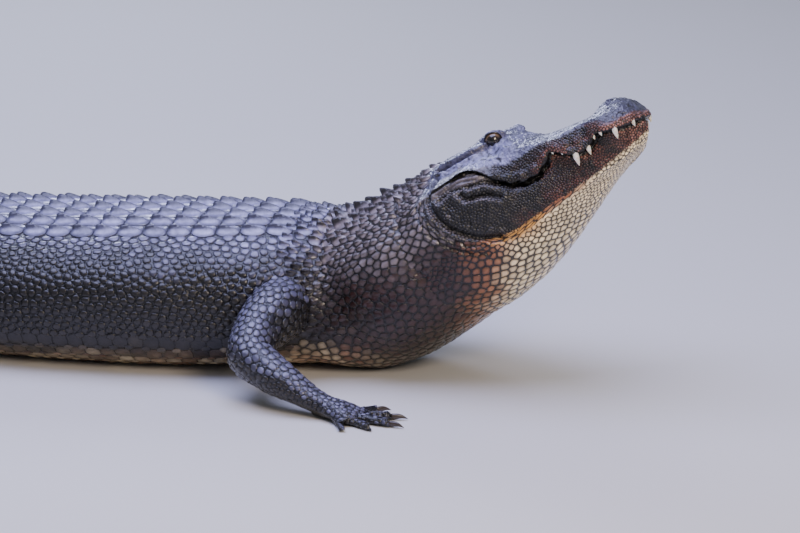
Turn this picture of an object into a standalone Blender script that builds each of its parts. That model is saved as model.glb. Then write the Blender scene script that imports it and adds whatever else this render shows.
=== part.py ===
"""A life-size American alligator, lying on its belly with the head raised to bellow.

Metres, +Z up, +X towards the snout, +Y to the animal's left. The origin is on the flat of the
belly, half way along the trunk. The body is lofted along a bent spine, and the head along its
own straight axis, which starts where the spine ends.
"""

from math import cos, pi, radians, sin, sqrt
from random import Random

import bmesh
import bpy
from mathutils import Vector

# The gap between two nodes that meet
GAP = 0.0003

# Distances along the spine, from the middle of the trunk, where the nodes part
TAIL_TIP = -2.40
TAIL_CUTS = (-0.68, -1.06, -1.46, -1.92, TAIL_TIP)
NECK_START = 0.30
NECK_END = 0.585

# The bend of the spine in degrees: yaw turns it to the left, pitch lifts it, roll drops its left
YAW = ((-2.40, 24), (-2.15, 16), (-1.85, -2), (-1.55, -19), (-1.25, -23), (-0.90, -11), (-0.60, -1),
       (-0.40, 0), (0.28, 0), (0.42, -4), (0.585, -12))
PITCH = ((-2.40, 0), (0.25, 0), (0.30, 4), (0.35, 17), (0.41, 32), (0.50, 35), (0.585, 30))
ROLL = ((0.30, 0), (0.40, 2), (0.585, 6))

# The trunk and tail's widest level over the floor, and each section's half width, rise and drop
# from that level. A drop that is longer than the level is high flattens against the floor.
LEVEL = ((-2.40, 0.022), (-2.20, 0.042), (-1.90, 0.060), (-1.50, 0.078), (-1.10, 0.098), (-0.75, 0.116),
         (-0.55, 0.124), (-0.20, 0.128), (0.0, 0.132), (0.25, 0.132))
WIDEST = 0.262
HALF_WIDTH = ((-2.40, 0.006), (-2.25, 0.017), (-2.00, 0.033), (-1.70, 0.051), (-1.40, 0.073),
              (-1.10, 0.100), (-0.85, 0.136), (-0.68, 0.168), (-0.55, 0.198), (-0.42, 0.236),
              (-0.25, WIDEST), (-0.08, 0.260), (0.08, 0.240), (0.20, 0.214), (0.30, 0.190),
              (0.375, 0.176), (0.45, 0.196), (0.52, 0.194), (0.585, 0.180))
RISE = ((-2.40, 0.010), (-2.20, 0.034), (-1.90, 0.056), (-1.50, 0.082), (-1.10, 0.104), (-0.80, 0.119),
        (-0.55, 0.125), (-0.20, 0.133), (0.10, 0.147), (0.25, 0.155), (0.33, 0.153), (0.38, 0.142),
        (0.45, 0.130), (0.52, 0.124), (0.585, 0.120))
DROP = ((-2.40, 0.024), (-2.20, 0.045), (-1.90, 0.064), (-1.50, 0.083), (-1.10, 0.105), (-0.75, 0.126),
        (-0.55, 0.137), (-0.20, 0.142), (0.0, 0.144), (0.12, 0.138), (0.25, 0.130), (0.30, 0.130),
        (0.34, 0.148), (0.38, 0.168), (0.45, 0.178), (0.52, 0.176), (0.585, 0.171))
ROUND_TOP = ((-2.40, 1.7), (-1.60, 1.8), (-1.00, 2.0), (-0.60, 2.3), (0.20, 2.35), (0.45, 2.2))
ROUND_BOTTOM = ((-2.40, 2.2), (-1.00, 2.3), (-0.50, 2.6), (0.15, 2.6), (0.40, 2.2))

# The head's axis runs through the point between the eyes. Its rear plane is this far behind that
# point, and the spine ends this far below it.
HEAD_REAR = -0.20
SPINE_UNDER_EYES = 0.130

# Profiles of the head along its axis, forward from the eyes: heights over the axis, half widths
SNOUT_TIP = 0.294
CROWN = ((-0.2, -0.010), (-0.15, -0.004), (-0.1, 0.000), (-0.04, 0.001), (0.0, -0.003), (0.02, -0.008),
         (0.04, -0.017), (0.06, -0.027), (0.085, -0.036), (0.14, -0.042), (0.201, -0.045), (0.237, -0.043),
         (0.269, -0.047), (0.285, -0.062), (0.294, -0.082))
CROWN_EDGE_WIDTH = ((-0.2, 0.073), (-0.1, 0.074), (-0.04, 0.067), (0.02, 0.058), (0.069, 0.057),
                    (0.155, 0.058), (0.237, 0.045), (0.285, 0.024), (0.294, 0.008))
CROWN_EDGE_DROP = ((-0.2, 0.008), (-0.1, 0.002), (-0.03, 0.001), (0.03, 0.005), (0.117, 0.007),
                   (0.237, 0.006), (0.294, 0.004))
CHEEK_WIDTH = ((-0.2, 0.120), (-0.12, 0.110), (-0.05, 0.104), (0.02, 0.100), (0.069, 0.094),
               (0.155, 0.084), (0.201, 0.064), (0.237, 0.068), (0.285, 0.038), (0.294, 0.015))
CHEEK = ((-0.2, -0.044), (-0.12, -0.033), (-0.05, -0.032), (0.02, -0.043), (0.069, -0.052),
         (0.155, -0.064), (0.238, -0.062), (0.285, -0.076), (0.294, -0.087))
LIP_WIDTH = ((-0.2, 0.166), (-0.15, 0.163), (-0.1, 0.157), (-0.05, 0.146), (0.0, 0.132), (0.05, 0.114),
             (0.088, 0.103), (0.121, 0.095), (0.155, 0.095), (0.178, 0.084), (0.201, 0.074),
             (0.228, 0.077), (0.257, 0.069), (0.276, 0.051), (0.285, 0.038), (0.294, 0.018))
LIP = ((-0.2, -0.080), (-0.15, -0.066), (-0.1, -0.0535), (-0.062, -0.0475), (-0.042, -0.0435),
       (-0.024, -0.047), (0.0, -0.067), (0.017, -0.088), (0.045, -0.104), (0.072, -0.109), (0.099, -0.101),
       (0.122, -0.081), (0.14, -0.087), (0.165, -0.102), (0.18, -0.105), (0.204, -0.097), (0.222, -0.0845),
       (0.25, -0.091), (0.273, -0.094), (0.294, -0.091))

# The lower jaw is a little narrower than the upper one in front, and bulges with its muscle behind
JAW_TIP = 0.286
JAW_WIDTH = ((-0.2, 0.164), (-0.1, 0.157), (-0.05, 0.142), (0.0, 0.125), (0.05, 0.104), (0.121, 0.083),
             (0.155, 0.079), (0.201, 0.059), (0.237, 0.058), (0.271, 0.040), (0.286, 0.014))
JAW_BULGE_WIDTH = ((-0.2, 0.178), (-0.14, 0.176), (-0.08, 0.168), (-0.02, 0.150), (0.05, 0.116),
                   (0.121, 0.086), (0.201, 0.061), (0.257, 0.043), (0.286, 0.012))
JAW_BULGE = ((-0.2, -0.120), (-0.08, -0.096), (0.0, -0.110), (0.05, -0.125), (0.155, -0.124),
             (0.237, -0.118), (0.286, -0.106))
JAW_EDGE_WIDTH = ((-0.2, 0.174), (-0.12, 0.166), (-0.05, 0.152), (0.05, 0.112), (0.098, 0.094),
                  (0.183, 0.062), (0.247, 0.034), (0.286, 0.008))
JAW_EDGE = ((-0.2, -0.172), (-0.1, -0.160), (0.0, -0.166), (0.088, -0.168), (0.174, -0.158),
            (0.247, -0.142), (0.286, -0.114))
THROAT_WIDTH = ((-0.2, 0.126), (-0.12, 0.122), (-0.05, 0.112), (0.05, 0.088), (0.136, 0.062),
                (0.201, 0.038), (0.257, 0.018), (0.286, 0.004))
THROAT = ((-0.2, -0.262), (-0.1, -0.252), (-0.02, -0.235), (0.059, -0.207), (0.136, -0.179),
          (0.21, -0.152), (0.257, -0.139), (0.286, -0.118))
THROAT_KEEL = ((-0.2, -0.301), (-0.14, -0.298), (-0.077, -0.286), (-0.005, -0.263), (0.07, -0.230),
               (0.136, -0.196), (0.205, -0.159), (0.257, -0.141), (0.286, -0.121))

# Where the head's sections stand, so that the two jaws meet along one line
HEAD_PLACES = (HEAD_REAR + GAP / 2, -0.165, -0.135, -0.105, -0.075, -0.045, -0.024, -0.004, 0.016,
               0.035, 0.055, 0.085, 0.119, 0.138, 0.155, 0.172, 0.188, 0.202, 0.220, 0.240, 0.258,
               0.273, JAW_TIP)
MOUTH_GAP = 0.001

# The raised pad round the nostrils, and the swellings over the eyes: place, reach and height
NOSTRIL_PAD = (0.236, 0.0, 0.034, 0.034, 0.013)
EYE_PLACE = (0.0, 0.045, -0.007)
EYE_RADIUS = 0.0165
BROW = (-0.006, 0.034, 0.032, 0.026, 0.012)
LID = (0.028, 0.0205, 0.0178)
LID_OPENING = (0.0180, 0.0110, 0.0105)
NOSTRIL_PLACE = (0.242, 0.014)
NOSTRIL_SIZE = (0.012, 0.0055, 0.010)

# The ear's flap hangs from the edge of the crown, over a slit: ends, half width out, level
EAR_ENDS = (-0.130, -0.042)
EAR_OUT = 0.0765
EAR_LEVEL = -0.0035
EAR_SIZE = (0.0045, 0.0060)
EAR_TAPER = 0.009
SLIT_OUT = 0.0835
SLIT_LEVEL = -0.0110
SLIT_SIZE = (0.0060, 0.0038)

# Teeth of one side of the upper jaw: place along the axis, length below the lip
TEETH = ((0.284, 0.011), (0.260, 0.022), (0.233, 0.011), (0.2135, 0.007), (0.194, 0.018), (0.170, 0.025),
         (0.148, 0.005), (0.130, 0.007))
TOOTH_INSET = 0.0055
TOOTH_ROOT = 0.010

# Plates of the back: their rows along it, the edges of their columns from the left to the middle
# where the trunk is widest, and their heights from the middle out
ROW_SPACING = 0.048
BACK_ROWS = (-0.66, 0.252)
PLATE_EDGES = (0.144, 0.099, 0.050, 0.0)
PLATE_HEIGHT = (0.019, 0.021, 0.018)

# The neck's plates: place along, across, length, width, height
SCUTE_ROOT = 0.008
NUCHAL_SCUTES = ((0.475, 0.028, 0.056, 0.046, 0.024), (0.418, 0.030, 0.056, 0.048, 0.026),
                 (0.446, 0.084, 0.046, 0.036, 0.020), (0.370, 0.024, 0.028, 0.030, 0.013))
NAPE_SCALES = ((0.535, 0.030), (0.540, 0.078), (0.395, 0.120), (0.372, 0.072))

# The tail's crest: two rows of vanes, which join into one towards the tip
CREST_SPACING = 0.045
CREST_JOINS = -1.46
CREST_HEIGHT = ((-2.38, 0.016), (-2.10, 0.036), (-1.70, 0.052), (-1.46, 0.052), (-1.10, 0.040),
                (-0.80, 0.026), (-0.68, 0.020))
CREST_ACROSS = ((-1.46, 0.013), (-1.20, 0.036), (-0.90, 0.064), (-0.68, 0.084))
CREST_THICKNESS = ((-2.40, 0.006), (-2.00, 0.013), (-1.46, 0.016), (-0.68, 0.022))
VANE_TOP = 0.0025
FLAT_PLATE_SHARE = 0.35
LAST_FLAT_PLATE = -1.15

# The left legs' paths from inside the trunk: place, half width and half height of each section.
# The right legs are their mirror images, each set a little further on.
FORE_LEG = (((0.232, 0.120, 0.150), 0.058, 0.062), ((0.222, 0.205, 0.142), 0.058, 0.062),
            ((0.203, 0.275, 0.118), 0.050, 0.052), ((0.203, 0.330, 0.096), 0.046, 0.046),
            ((0.245, 0.366, 0.075), 0.043, 0.040), ((0.298, 0.388, 0.054), 0.037, 0.033),
            ((0.345, 0.400, 0.034), 0.029, 0.024), ((0.372, 0.405, 0.027), 0.027, 0.021))
HIND_LEG = (((-0.560, 0.100, 0.150), 0.088, 0.085), ((-0.545, 0.190, 0.148), 0.088, 0.082),
            ((-0.497, 0.270, 0.138), 0.074, 0.070), ((-0.442, 0.332, 0.122), 0.060, 0.058),
            ((-0.418, 0.378, 0.102), 0.050, 0.050), ((-0.452, 0.412, 0.084), 0.047, 0.046),
            ((-0.512, 0.426, 0.064), 0.042, 0.040), ((-0.566, 0.432, 0.045), 0.034, 0.034),
            ((-0.592, 0.436, 0.036), 0.028, 0.030))
RIGHT_LEGS_ON = (0.035, -0.030)

# Feet: heading out from straight ahead, length and half width of the palm, and the toes as
# (spread, length, radius, has a claw), from the inner one out
FORE_FOOT = (12, 0.070, 0.042, ((-52, 0.052, 0.0105, True), (-24, 0.074, 0.0115, True),
                                (0, 0.082, 0.0115, True), (24, 0.070, 0.0100, False),
                                (52, 0.052, 0.0085, False)))
HIND_FOOT = (38, 0.105, 0.046, ((-30, 0.078, 0.0125, True), (-9, 0.104, 0.0130, True),
                                (12, 0.108, 0.0125, True), (34, 0.084, 0.0100, False)))
PALM_HEIGHT = 0.030

# Sections of a foot's parts: share of its length, width and height, or a claw's radius and height
PALM_SECTIONS = ((-0.10, 0.52, 0.62), (0.14, 0.68, 0.76), (0.55, 0.94, 0.66), (0.90, 0.98, 0.48),
                 (1.02, 0.86, 0.34))
TOE_SECTIONS = ((-0.25, 1.0, 0.95), (0.30, 1.02, 1.0), (0.70, 0.95, 0.92), (1.0, 0.45, 0.55))
CLAW_SECTIONS = ((-0.30, 0.0058, 0.0078), (1.0, 0.0008, 0.0022))
CLAW_LENGTH = 0.024
WEB_THICKNESS = 0.006

RANDOM = Random(7)


def through(knots, at):
    """The smooth curve through (place, value) knots, read at one place."""
    at = min(max(at, knots[0][0]), knots[-1][0])
    i = 0
    while i < len(knots) - 2 and at > knots[i + 1][0]:
        i += 1
    (x0, y0), (x1, y1) = knots[i], knots[i + 1]
    span = x1 - x0
    slope = (y1 - y0) / span

    def tangent(j):
        if j in (0, len(knots) - 1):
            return slope
        before = (knots[j][1] - knots[j - 1][1]) / (knots[j][0] - knots[j - 1][0])
        after = (knots[j + 1][1] - knots[j][1]) / (knots[j + 1][0] - knots[j][0])
        if before * after <= 0:
            return 0.0
        return 2 * before * after / (before + after)

    t = (at - x0) / span
    rise = y0 * (1 + 2 * t) * (1 - t) ** 2 + y1 * t * t * (3 - 2 * t)
    return rise + span * (tangent(i) * t * (1 - t) ** 2 - tangent(i + 1) * t * t * (1 - t))


def directions(yaw, pitch, roll=0):
    """Forward, left and up for a yaw to the left, a pitch upwards and a roll, in degrees."""
    y, p, r = radians(yaw), radians(pitch), radians(roll)
    forward = Vector((cos(p) * cos(y), cos(p) * sin(y), sin(p)))
    level = Vector((-sin(y), cos(y), 0))
    left = level * cos(r) - forward.cross(level) * sin(r)
    return forward, left, forward.cross(left)


def walk_spine(step=0.005):
    """The spine's points from the tail's tip to its front end, a step apart, as {index: point}."""
    points = {0: Vector((0, 0, through(LEVEL, 0)))}
    for way, end in ((1, NECK_END), (-1, TAIL_TIP)):
        place = points[0].copy()
        for i in range(1, int(abs(end) / step) + 2):
            middle = way * (i - 0.5) * step
            forward, _, _ = directions(through(YAW, middle), through(PITCH, middle))
            place = place + forward * way * step
            points[way * i] = place.copy()
    return points, step


SPINE_POINTS, SPINE_STEP = walk_spine()


def spine(along):
    """Centre, forward, left and up of the spine at a distance along it."""
    i = int(along // SPINE_STEP)
    i = min(max(i, min(SPINE_POINTS)), max(SPINE_POINTS) - 1)
    share = along / SPINE_STEP - i
    centre = SPINE_POINTS[i].lerp(SPINE_POINTS[i + 1], share)
    if along < LEVEL[-1][0]:
        centre.z = through(LEVEL, along)
    return (centre, *directions(through(YAW, along), through(PITCH, along), through(ROLL, along)))


def body_point(along, turn):
    """The skin at a turn round the spine, in radians from the left side over the back."""
    centre, _, left, up = spine(along)
    over = sin(turn) >= 0
    power = 2 / through(ROUND_TOP if over else ROUND_BOTTOM, along)
    reach = through(RISE if over else DROP, along)
    side = abs(cos(turn)) ** power * (1 if cos(turn) >= 0 else -1)
    lift = abs(sin(turn)) ** power * (1 if over else -1)
    point = centre + left * through(HALF_WIDTH, along) * side + up * reach * lift
    point.z = max(point.z, 0)
    return point


def turn_at(along, across):
    """The turn round the spine at a distance across the back from its midline."""
    way = 1 if across >= 0 else -1
    step = pi / 120
    gone, turn = 0.0, pi / 2
    point = body_point(along, turn)
    while True:
        after = body_point(along, turn - way * step)
        length = (after - point).length
        if gone + length >= abs(across):
            return turn - way * step * (abs(across) - gone) / length
        gone += length
        turn -= way * step
        point = after


def on_back(along, across):
    """The skin's point and outward normal at a distance across from the midline of the back."""
    turn = turn_at(along, across)
    small = 0.01
    sideways = body_point(along, turn + small) - body_point(along, turn - small)
    forward = body_point(along + small, turn) - body_point(along - small, turn)
    return body_point(along, turn), sideways.cross(forward).normalized()


EYES, HEAD_FORWARD, HEAD_LEFT, HEAD_UP = spine(NECK_END)
EYES = EYES - HEAD_FORWARD * HEAD_REAR + HEAD_UP * SPINE_UNDER_EYES


def head_point(forward, left, up):
    """A place of the head's own frame, in the model's."""
    return EYES + HEAD_FORWARD * forward + HEAD_LEFT * left + HEAD_UP * up


def smooth_outline(points, samples):
    """Points on a curve through these (left, up) points, with this many to each stretch."""
    made = []
    for i in range(len(points) - 1):
        before = points[i - 1] if i else (-points[1][0], points[1][1])
        a, b = points[i], points[i + 1]
        after = points[i + 2] if i + 2 < len(points) else b
        for k in range(samples):
            t = k / samples
            weights = (-t + 2 * t * t - t ** 3, 2 - 5 * t * t + 3 * t ** 3,
                       t + 4 * t * t - 3 * t ** 3, t ** 3 - t * t)
            made.append(tuple(sum(w * p[c] for w, p in zip(weights, (before, a, b, after))) / 2
                              for c in (0, 1)))
    made.append(points[-1])
    return made


def swelling(forward, left, bump):
    """How far a rounded swelling lifts the skin at a place of the head."""
    at, side, long, wide, height = bump
    far = ((forward - at) / long) ** 2 + ((abs(left) - side) / wide) ** 2
    return height * max(0.0, 1 - far / 2.2) ** 2


def upper_half(forward):
    """The left outline of the skull at one place, from the crown's midline down to the lip."""
    crown = through(CROWN, forward)
    edge = through(CROWN_EDGE_WIDTH, forward)
    points = [(0.0, crown), (edge, crown - through(CROWN_EDGE_DROP, forward)),
              (through(CHEEK_WIDTH, forward), through(CHEEK, forward)),
              (through(LIP_WIDTH, forward), through(LIP, forward))]
    outline = smooth_outline(points, 4)
    return [(y, z + swelling(forward, y, NOSTRIL_PAD) + swelling(forward, y, BROW))
            for y, z in outline]


def lower_half(forward):
    """The left outline of the lower jaw and throat, from the lip down to the throat's midline."""
    lip = through(LIP, forward) - MOUTH_GAP
    points = [(through(JAW_WIDTH, forward), lip),
              (through(JAW_BULGE_WIDTH, forward), through(JAW_BULGE, forward)),
              (through(JAW_EDGE_WIDTH, forward), through(JAW_EDGE, forward)),
              (through(THROAT_WIDTH, forward), through(THROAT, forward)),
              (0.0, through(THROAT_KEEL, forward))]
    continued = points + [(-points[-2][0], points[-2][1])]
    first = (2 * points[0][0] - points[1][0], 2 * points[0][1] - points[1][1])
    made = []
    for i in range(len(points) - 1):
        before = points[i - 1] if i else first
        quad = (before, points[i], points[i + 1], continued[i + 2])
        for k in range(3):
            t = k / 3
            weights = (-t + 2 * t * t - t ** 3, 2 - 5 * t * t + 3 * t ** 3,
                       t + 4 * t * t - 3 * t ** 3, t ** 3 - t * t)
            made.append(tuple(sum(w * p[c] for w, p in zip(weights, quad)) / 2 for c in (0, 1)))
    return made + [points[-1]]


def material(name, colour, roughness):
    """A plain glossy skin, horn or eye material."""
    made = bpy.data.materials.new(name)
    made.use_nodes = True
    shader = made.node_tree.nodes["Principled BSDF"]
    shader.inputs["Base Color"].default_value = (*colour, 1)
    shader.inputs["Roughness"].default_value = roughness
    shader.inputs["Metallic"].default_value = 0
    return made


def closed_mesh(name, vertices, faces, finish):
    """An object whose mesh has these points and faces, its normals facing out."""
    mesh = bpy.data.meshes.new(name)
    mesh.from_pydata([tuple(v) for v in vertices], [], faces)
    work = bmesh.new()
    work.from_mesh(mesh)
    bmesh.ops.remove_doubles(work, verts=work.verts, dist=0.00002)
    bmesh.ops.recalc_face_normals(work, faces=work.faces)
    bmesh.ops.triangulate(work, faces=work.faces)
    work.to_mesh(mesh)
    work.free()
    mesh.materials.append(finish)
    made = bpy.data.objects.new(name, mesh)
    bpy.context.scene.collection.objects.link(made)
    return made


def loft(name, rings, finish):
    """A closed solid through rings of as many points each, with a flat cap at both ends."""
    count = len(rings[0])
    vertices = [point for ring in rings for point in ring]
    faces = [(r * count + i, r * count + (i + 1) % count, (r + 1) * count + (i + 1) % count,
              (r + 1) * count + i)
             for r in range(len(rings) - 1) for i in range(count)]
    faces.append(tuple(range(count)))
    faces.append(tuple(range((len(rings) - 1) * count, len(rings) * count)))
    return closed_mesh(name, vertices, faces, finish)


def bake_modifiers(thing):
    """Replaces the object's mesh by the one its modifiers make."""
    graph = bpy.context.evaluated_depsgraph_get()
    mesh = bpy.data.meshes.new_from_object(thing.evaluated_get(graph))
    thing.modifiers.clear()
    thing.data = mesh


def keep_largest(thing):
    """Drops every loose shell of the object's mesh but the largest."""
    work = bmesh.new()
    work.from_mesh(thing.data)
    unseen, shells = set(work.verts), []
    while unseen:
        shell, edge = set(), [unseen.pop()]
        while edge:
            vertex = edge.pop()
            shell.add(vertex)
            for link in vertex.link_edges:
                other = link.other_vert(vertex)
                if other in unseen:
                    unseen.remove(other)
                    edge.append(other)
        shells.append(shell)
    shells.sort(key=len)
    loose = [vertex for shell in shells[:-1] for vertex in shell]
    bmesh.ops.delete(work, geom=loose, context="VERTS")
    bmesh.ops.triangulate(work, faces=work.faces)
    work.to_mesh(thing.data)
    work.free()


def boolean(core, pieces, way):
    """Joins a collection of closed pieces to the core, or cuts them from it, and removes them."""
    group = bpy.data.collections.new(core.name + "_" + way.lower())
    for piece in pieces:
        group.objects.link(piece)
    modifier = core.modifiers.new(way.lower(), "BOOLEAN")
    modifier.operation = way
    modifier.operand_type = "COLLECTION"
    modifier.collection = group
    modifier.solver = "MANIFOLD"
    bpy.context.view_layer.update()
    bake_modifiers(core)
    for piece in pieces:
        bpy.data.objects.remove(piece)
    bpy.data.collections.remove(group)
    keep_largest(core)
    return core


def body_length(name, start, end, rings, around, finish):
    """One length of the spine's flesh, between two places along it."""
    places = [start + GAP / 2 + (end - start - GAP) * i / (rings - 1) for i in range(rings)]
    turns = [2 * pi * (k + 0.5) / around for k in range(around)]
    return loft(name, [[body_point(at, turn) for turn in turns] for at in places], finish)


def plated_length(name, places, edges, below, raised, finish):
    """One length of the body, whose skin rises into a plate in each cell of its back.

    The sections stand at the places. Over the back their points lie at the edges, distances
    across it from left to right, and below in even steps. The function raised gives the points
    and faces of the plate on four corners, or None where the skin is plain.
    """
    vertices, faces = [], []
    for along in places:
        over = [turn_at(along, edge) for edge in edges(along)]
        under = [over[-1] + (2 * pi + over[0] - over[-1]) * k / below for k in range(1, below)]
        vertices += [body_point(along, turn) for turn in over + under]
    count = len(vertices) // len(places)
    columns = count - below
    for row in range(len(places) - 1):
        for k in range(count):
            after = (k + 1) % count
            cell = [row * count + k, row * count + after, (row + 1) * count + after,
                    (row + 1) * count + k]
            middle = (places[row] + places[row + 1]) / 2
            plate = raised([vertices[i] for i in cell], middle, k) if k < columns else None
            if plate is None:
                faces.append(tuple(cell))
                continue
            numbers = cell + [len(vertices) + i for i in range(len(plate[0]))]
            vertices += plate[0]
            faces += [tuple(numbers[i] for i in face) for face in plate[1]]
    faces.append(tuple(range(count)))
    last = (len(places) - 1) * count
    faces.append(tuple(range(last, last + count)))
    return closed_mesh(name, vertices, faces, finish)


def plate_on(corners, height, rim=0.16):
    """A keeled plate on a cell of skin: a low rim, and a ridge that climbs to the rear."""
    left_rear, right_rear, right_front, left_front = corners
    centre = sum(corners, Vector()) / 4
    normal = (right_front - left_rear).cross(left_front - right_rear).normalized()
    points = [c.lerp(centre, rim) + normal * height * 0.22 for c in corners]
    rear, front = (left_rear + right_rear) / 2, (left_front + right_front) / 2
    points += [rear.lerp(front, 0.12) + normal * height, rear.lerp(front, 0.80) + normal * height * 0.42]
    faces = [(0, 1, 5, 4), (1, 2, 6, 5), (2, 3, 7, 6), (3, 0, 4, 7),
             (4, 5, 8), (5, 6, 9, 8), (6, 7, 9), (7, 4, 8, 9)]
    return points, faces


def vane_on(corners, height, lean, thick):
    """An upright plate of the crest on a narrow cell of skin, swept back, with a thin top."""
    left_rear, right_rear, right_front, left_front = corners
    rear, front = (left_rear + right_rear) / 2, (left_front + right_front) / 2
    side = (left_rear - right_rear).normalized() * thick / 2
    points = []
    for share, lift in ((-0.10, 1.0), (0.42, 0.78)):
        middle = rear + (front - rear) * share + lean * height * lift
        points += [middle + side, middle - side]
    faces = [(0, 1, 5, 4), (1, 2, 7, 5), (2, 3, 6, 7), (3, 0, 4, 6), (4, 5, 7, 6)]
    return points, faces


def scute(along, across, length, width, height, finish):
    """A keeled bony plate on the back: a ridge that climbs to the rear, between sides that slope
    down past the skin to a root wider than the plate is at the skin."""
    point, normal = on_back(along, across)
    _, forward, _, _ = spine(along)
    forward = (forward - normal * forward.dot(normal)).normalized()
    side = normal.cross(forward)
    spread = (height + SCUTE_ROOT) / height / 2
    root = [point + forward * f * length + side * s * width * spread - normal * SCUTE_ROOT
            for f, s in ((0.52, 0.85), (0.52, -0.85), (-0.47, -1), (-0.47, 1))]
    ridge = [point + forward * 0.34 * length + normal * height * 0.42,
             point - forward * 0.36 * length + normal * height]
    faces = [(0, 1, 2, 3), (0, 1, 4), (1, 2, 5, 4), (2, 3, 5), (3, 0, 4, 5)]
    return closed_mesh("scute", root + ridge, faces, finish)


def vary(value, share=0.08):
    """The value, a little larger or smaller."""
    return value * (1 + RANDOM.uniform(-share, share))


def trunk(finish):
    """The trunk, with rows of keeled plates over its back."""
    rows = int(round((BACK_ROWS[1] - BACK_ROWS[0]) / ROW_SPACING))
    places = [TAIL_CUTS[0] + GAP / 2] + [BACK_ROWS[0] + ROW_SPACING * i for i in range(rows + 1)]
    places.append(NECK_START - GAP / 2)

    def edges(along):
        spread = through(HALF_WIDTH, along) / WIDEST
        return [across * spread for across in PLATE_EDGES + tuple(-e for e in PLATE_EDGES[-2::-1])]

    def raised(corners, along, column):
        if not BACK_ROWS[0] < along < BACK_ROWS[1]:
            return None
        out = abs(column - 2.5)
        return plate_on(corners, vary(PLATE_HEIGHT[int(out)]))

    return plated_length("torso", places, edges, 16, raised, finish)


def tail_length(number, finish):
    """One length of the tail: its crest is double in front of the joint and single behind it."""
    start, end = TAIL_CUTS[number], TAIL_CUTS[number - 1]
    rows = int(round((end - start) / CREST_SPACING))
    places = [start + GAP / 2 + (end - start - GAP) * i / rows for i in range(rows + 1)]
    double = end > CREST_JOINS + 0.01

    def edges(along):
        half = through(CREST_THICKNESS, along) / 2
        if not double:
            return [half, -half]
        out = through(CREST_ACROSS, along)
        return [out + half, out - half, 0, half - out, -half - out]

    def raised(corners, along, column):
        _, forward, left, up = spine(along)
        height = vary(through(CREST_HEIGHT, along), 0.06)
        if not double:
            return vane_on(corners, height, (up - forward * 0.25).normalized(), VANE_TOP)
        if column in (1, 2):
            return plate_on(corners, height * FLAT_PLATE_SHARE) if along > LAST_FLAT_PLATE else None
        out = left * (0.30 if column == 0 else -0.30) * through(CREST_ACROSS, along) / 0.07
        return vane_on(corners, height, (up + out - forward * 0.25).normalized(), VANE_TOP)

    return plated_length(f"tail_{number}", places, edges, 14, raised, finish)


def nuchal_plates(finish):
    """The tall paired plates on the neck, and the low keeled scales beside them."""
    made = []
    for along, across, length, width, height in NUCHAL_SCUTES:
        for way in (1, -1):
            made.append(scute(along, way * across, length, width, height, finish))
    for along, across in NAPE_SCALES:
        for way in (1, -1):
            made.append(scute(along, way * across, vary(0.028), vary(0.024), vary(0.012), finish))
    return made


def grown(thing, by=GAP * 1.15):
    """A copy of the object, swollen by a gap, to cut its neighbours clear of it."""
    made = thing.copy()
    made.data = thing.data.copy()
    for vertex in made.data.vertices:
        vertex.co += vertex.normal * by
    return made


def clear_of(thing, neighbours):
    """Cuts the object back so that it meets each neighbour face to face."""
    return boolean(thing, [grown(neighbour) for neighbour in neighbours], "DIFFERENCE")


def ball(name, centre, axes, radii, finish, around=14, rows=9):
    """A closed ellipsoid of faceted rows about the last of its three axes."""
    a, b, c = axes
    rings = []
    for row in range(1, rows):
        tilt = pi * row / rows
        rings.append([centre + a * radii[0] * sin(tilt) * cos(2 * pi * k / around)
                      + b * radii[1] * sin(tilt) * sin(2 * pi * k / around)
                      + c * radii[2] * cos(tilt) for k in range(around)])
    return loft(name, rings, finish)


def tube(name, points, radii, sides, finish):
    """A closed round bar along the points, with its own radius at each."""
    rings = []
    for i, point in enumerate(points):
        along = (points[min(i + 1, len(points) - 1)] - points[max(i - 1, 0)]).normalized()
        side = along.cross(Vector((0.03, 0.06, 1))).normalized()
        up = side.cross(along)
        rings.append([point + (side * cos(2 * pi * k / sides) + up * sin(2 * pi * k / sides)) * radii[i]
                      for k in range(sides)])
    return loft(name, rings, finish)


def lid_opening(way, finish):
    """The almond between the lids of one eye, as a wedge that widens outwards from the eye."""
    centre = head_point(EYE_PLACE[0], way * EYE_PLACE[1], EYE_PLACE[2])
    outward = (HEAD_LEFT * way - HEAD_UP * 0.12 + HEAD_FORWARD * 0.10).normalized()
    along = (HEAD_FORWARD - outward * HEAD_FORWARD.dot(outward)).normalized()
    over = along.cross(outward) * -way
    rings = []
    for reach in (0.25, 2.2):
        ring = []
        for k in range(12):
            turn = pi * k / 6
            lift = LID_OPENING[1 if sin(turn) > 0 else 2]
            ring.append(centre + (outward * EYE_RADIUS + along * LID_OPENING[0] * cos(turn)
                                  + over * lift * sin(turn)) * reach)
        rings.append(ring)
    return loft("opening", rings, finish)


def upper_teeth(finish):
    """The pointed teeth that show below the upper lip, on both sides."""
    made = []
    for way in (1, -1):
        for at, length in TEETH:
            lip = through(LIP, at)
            out = through(LIP_WIDTH, at) - TOOTH_INSET
            wide = 0.0028 + length * 0.13
            points = [head_point(at, way * out, lip + TOOTH_ROOT),
                      head_point(at - length * 0.08, way * out, lip - length)]
            made.append(tube("tooth", points, (wide, 0.0007), 5, finish))
    return made


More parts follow.
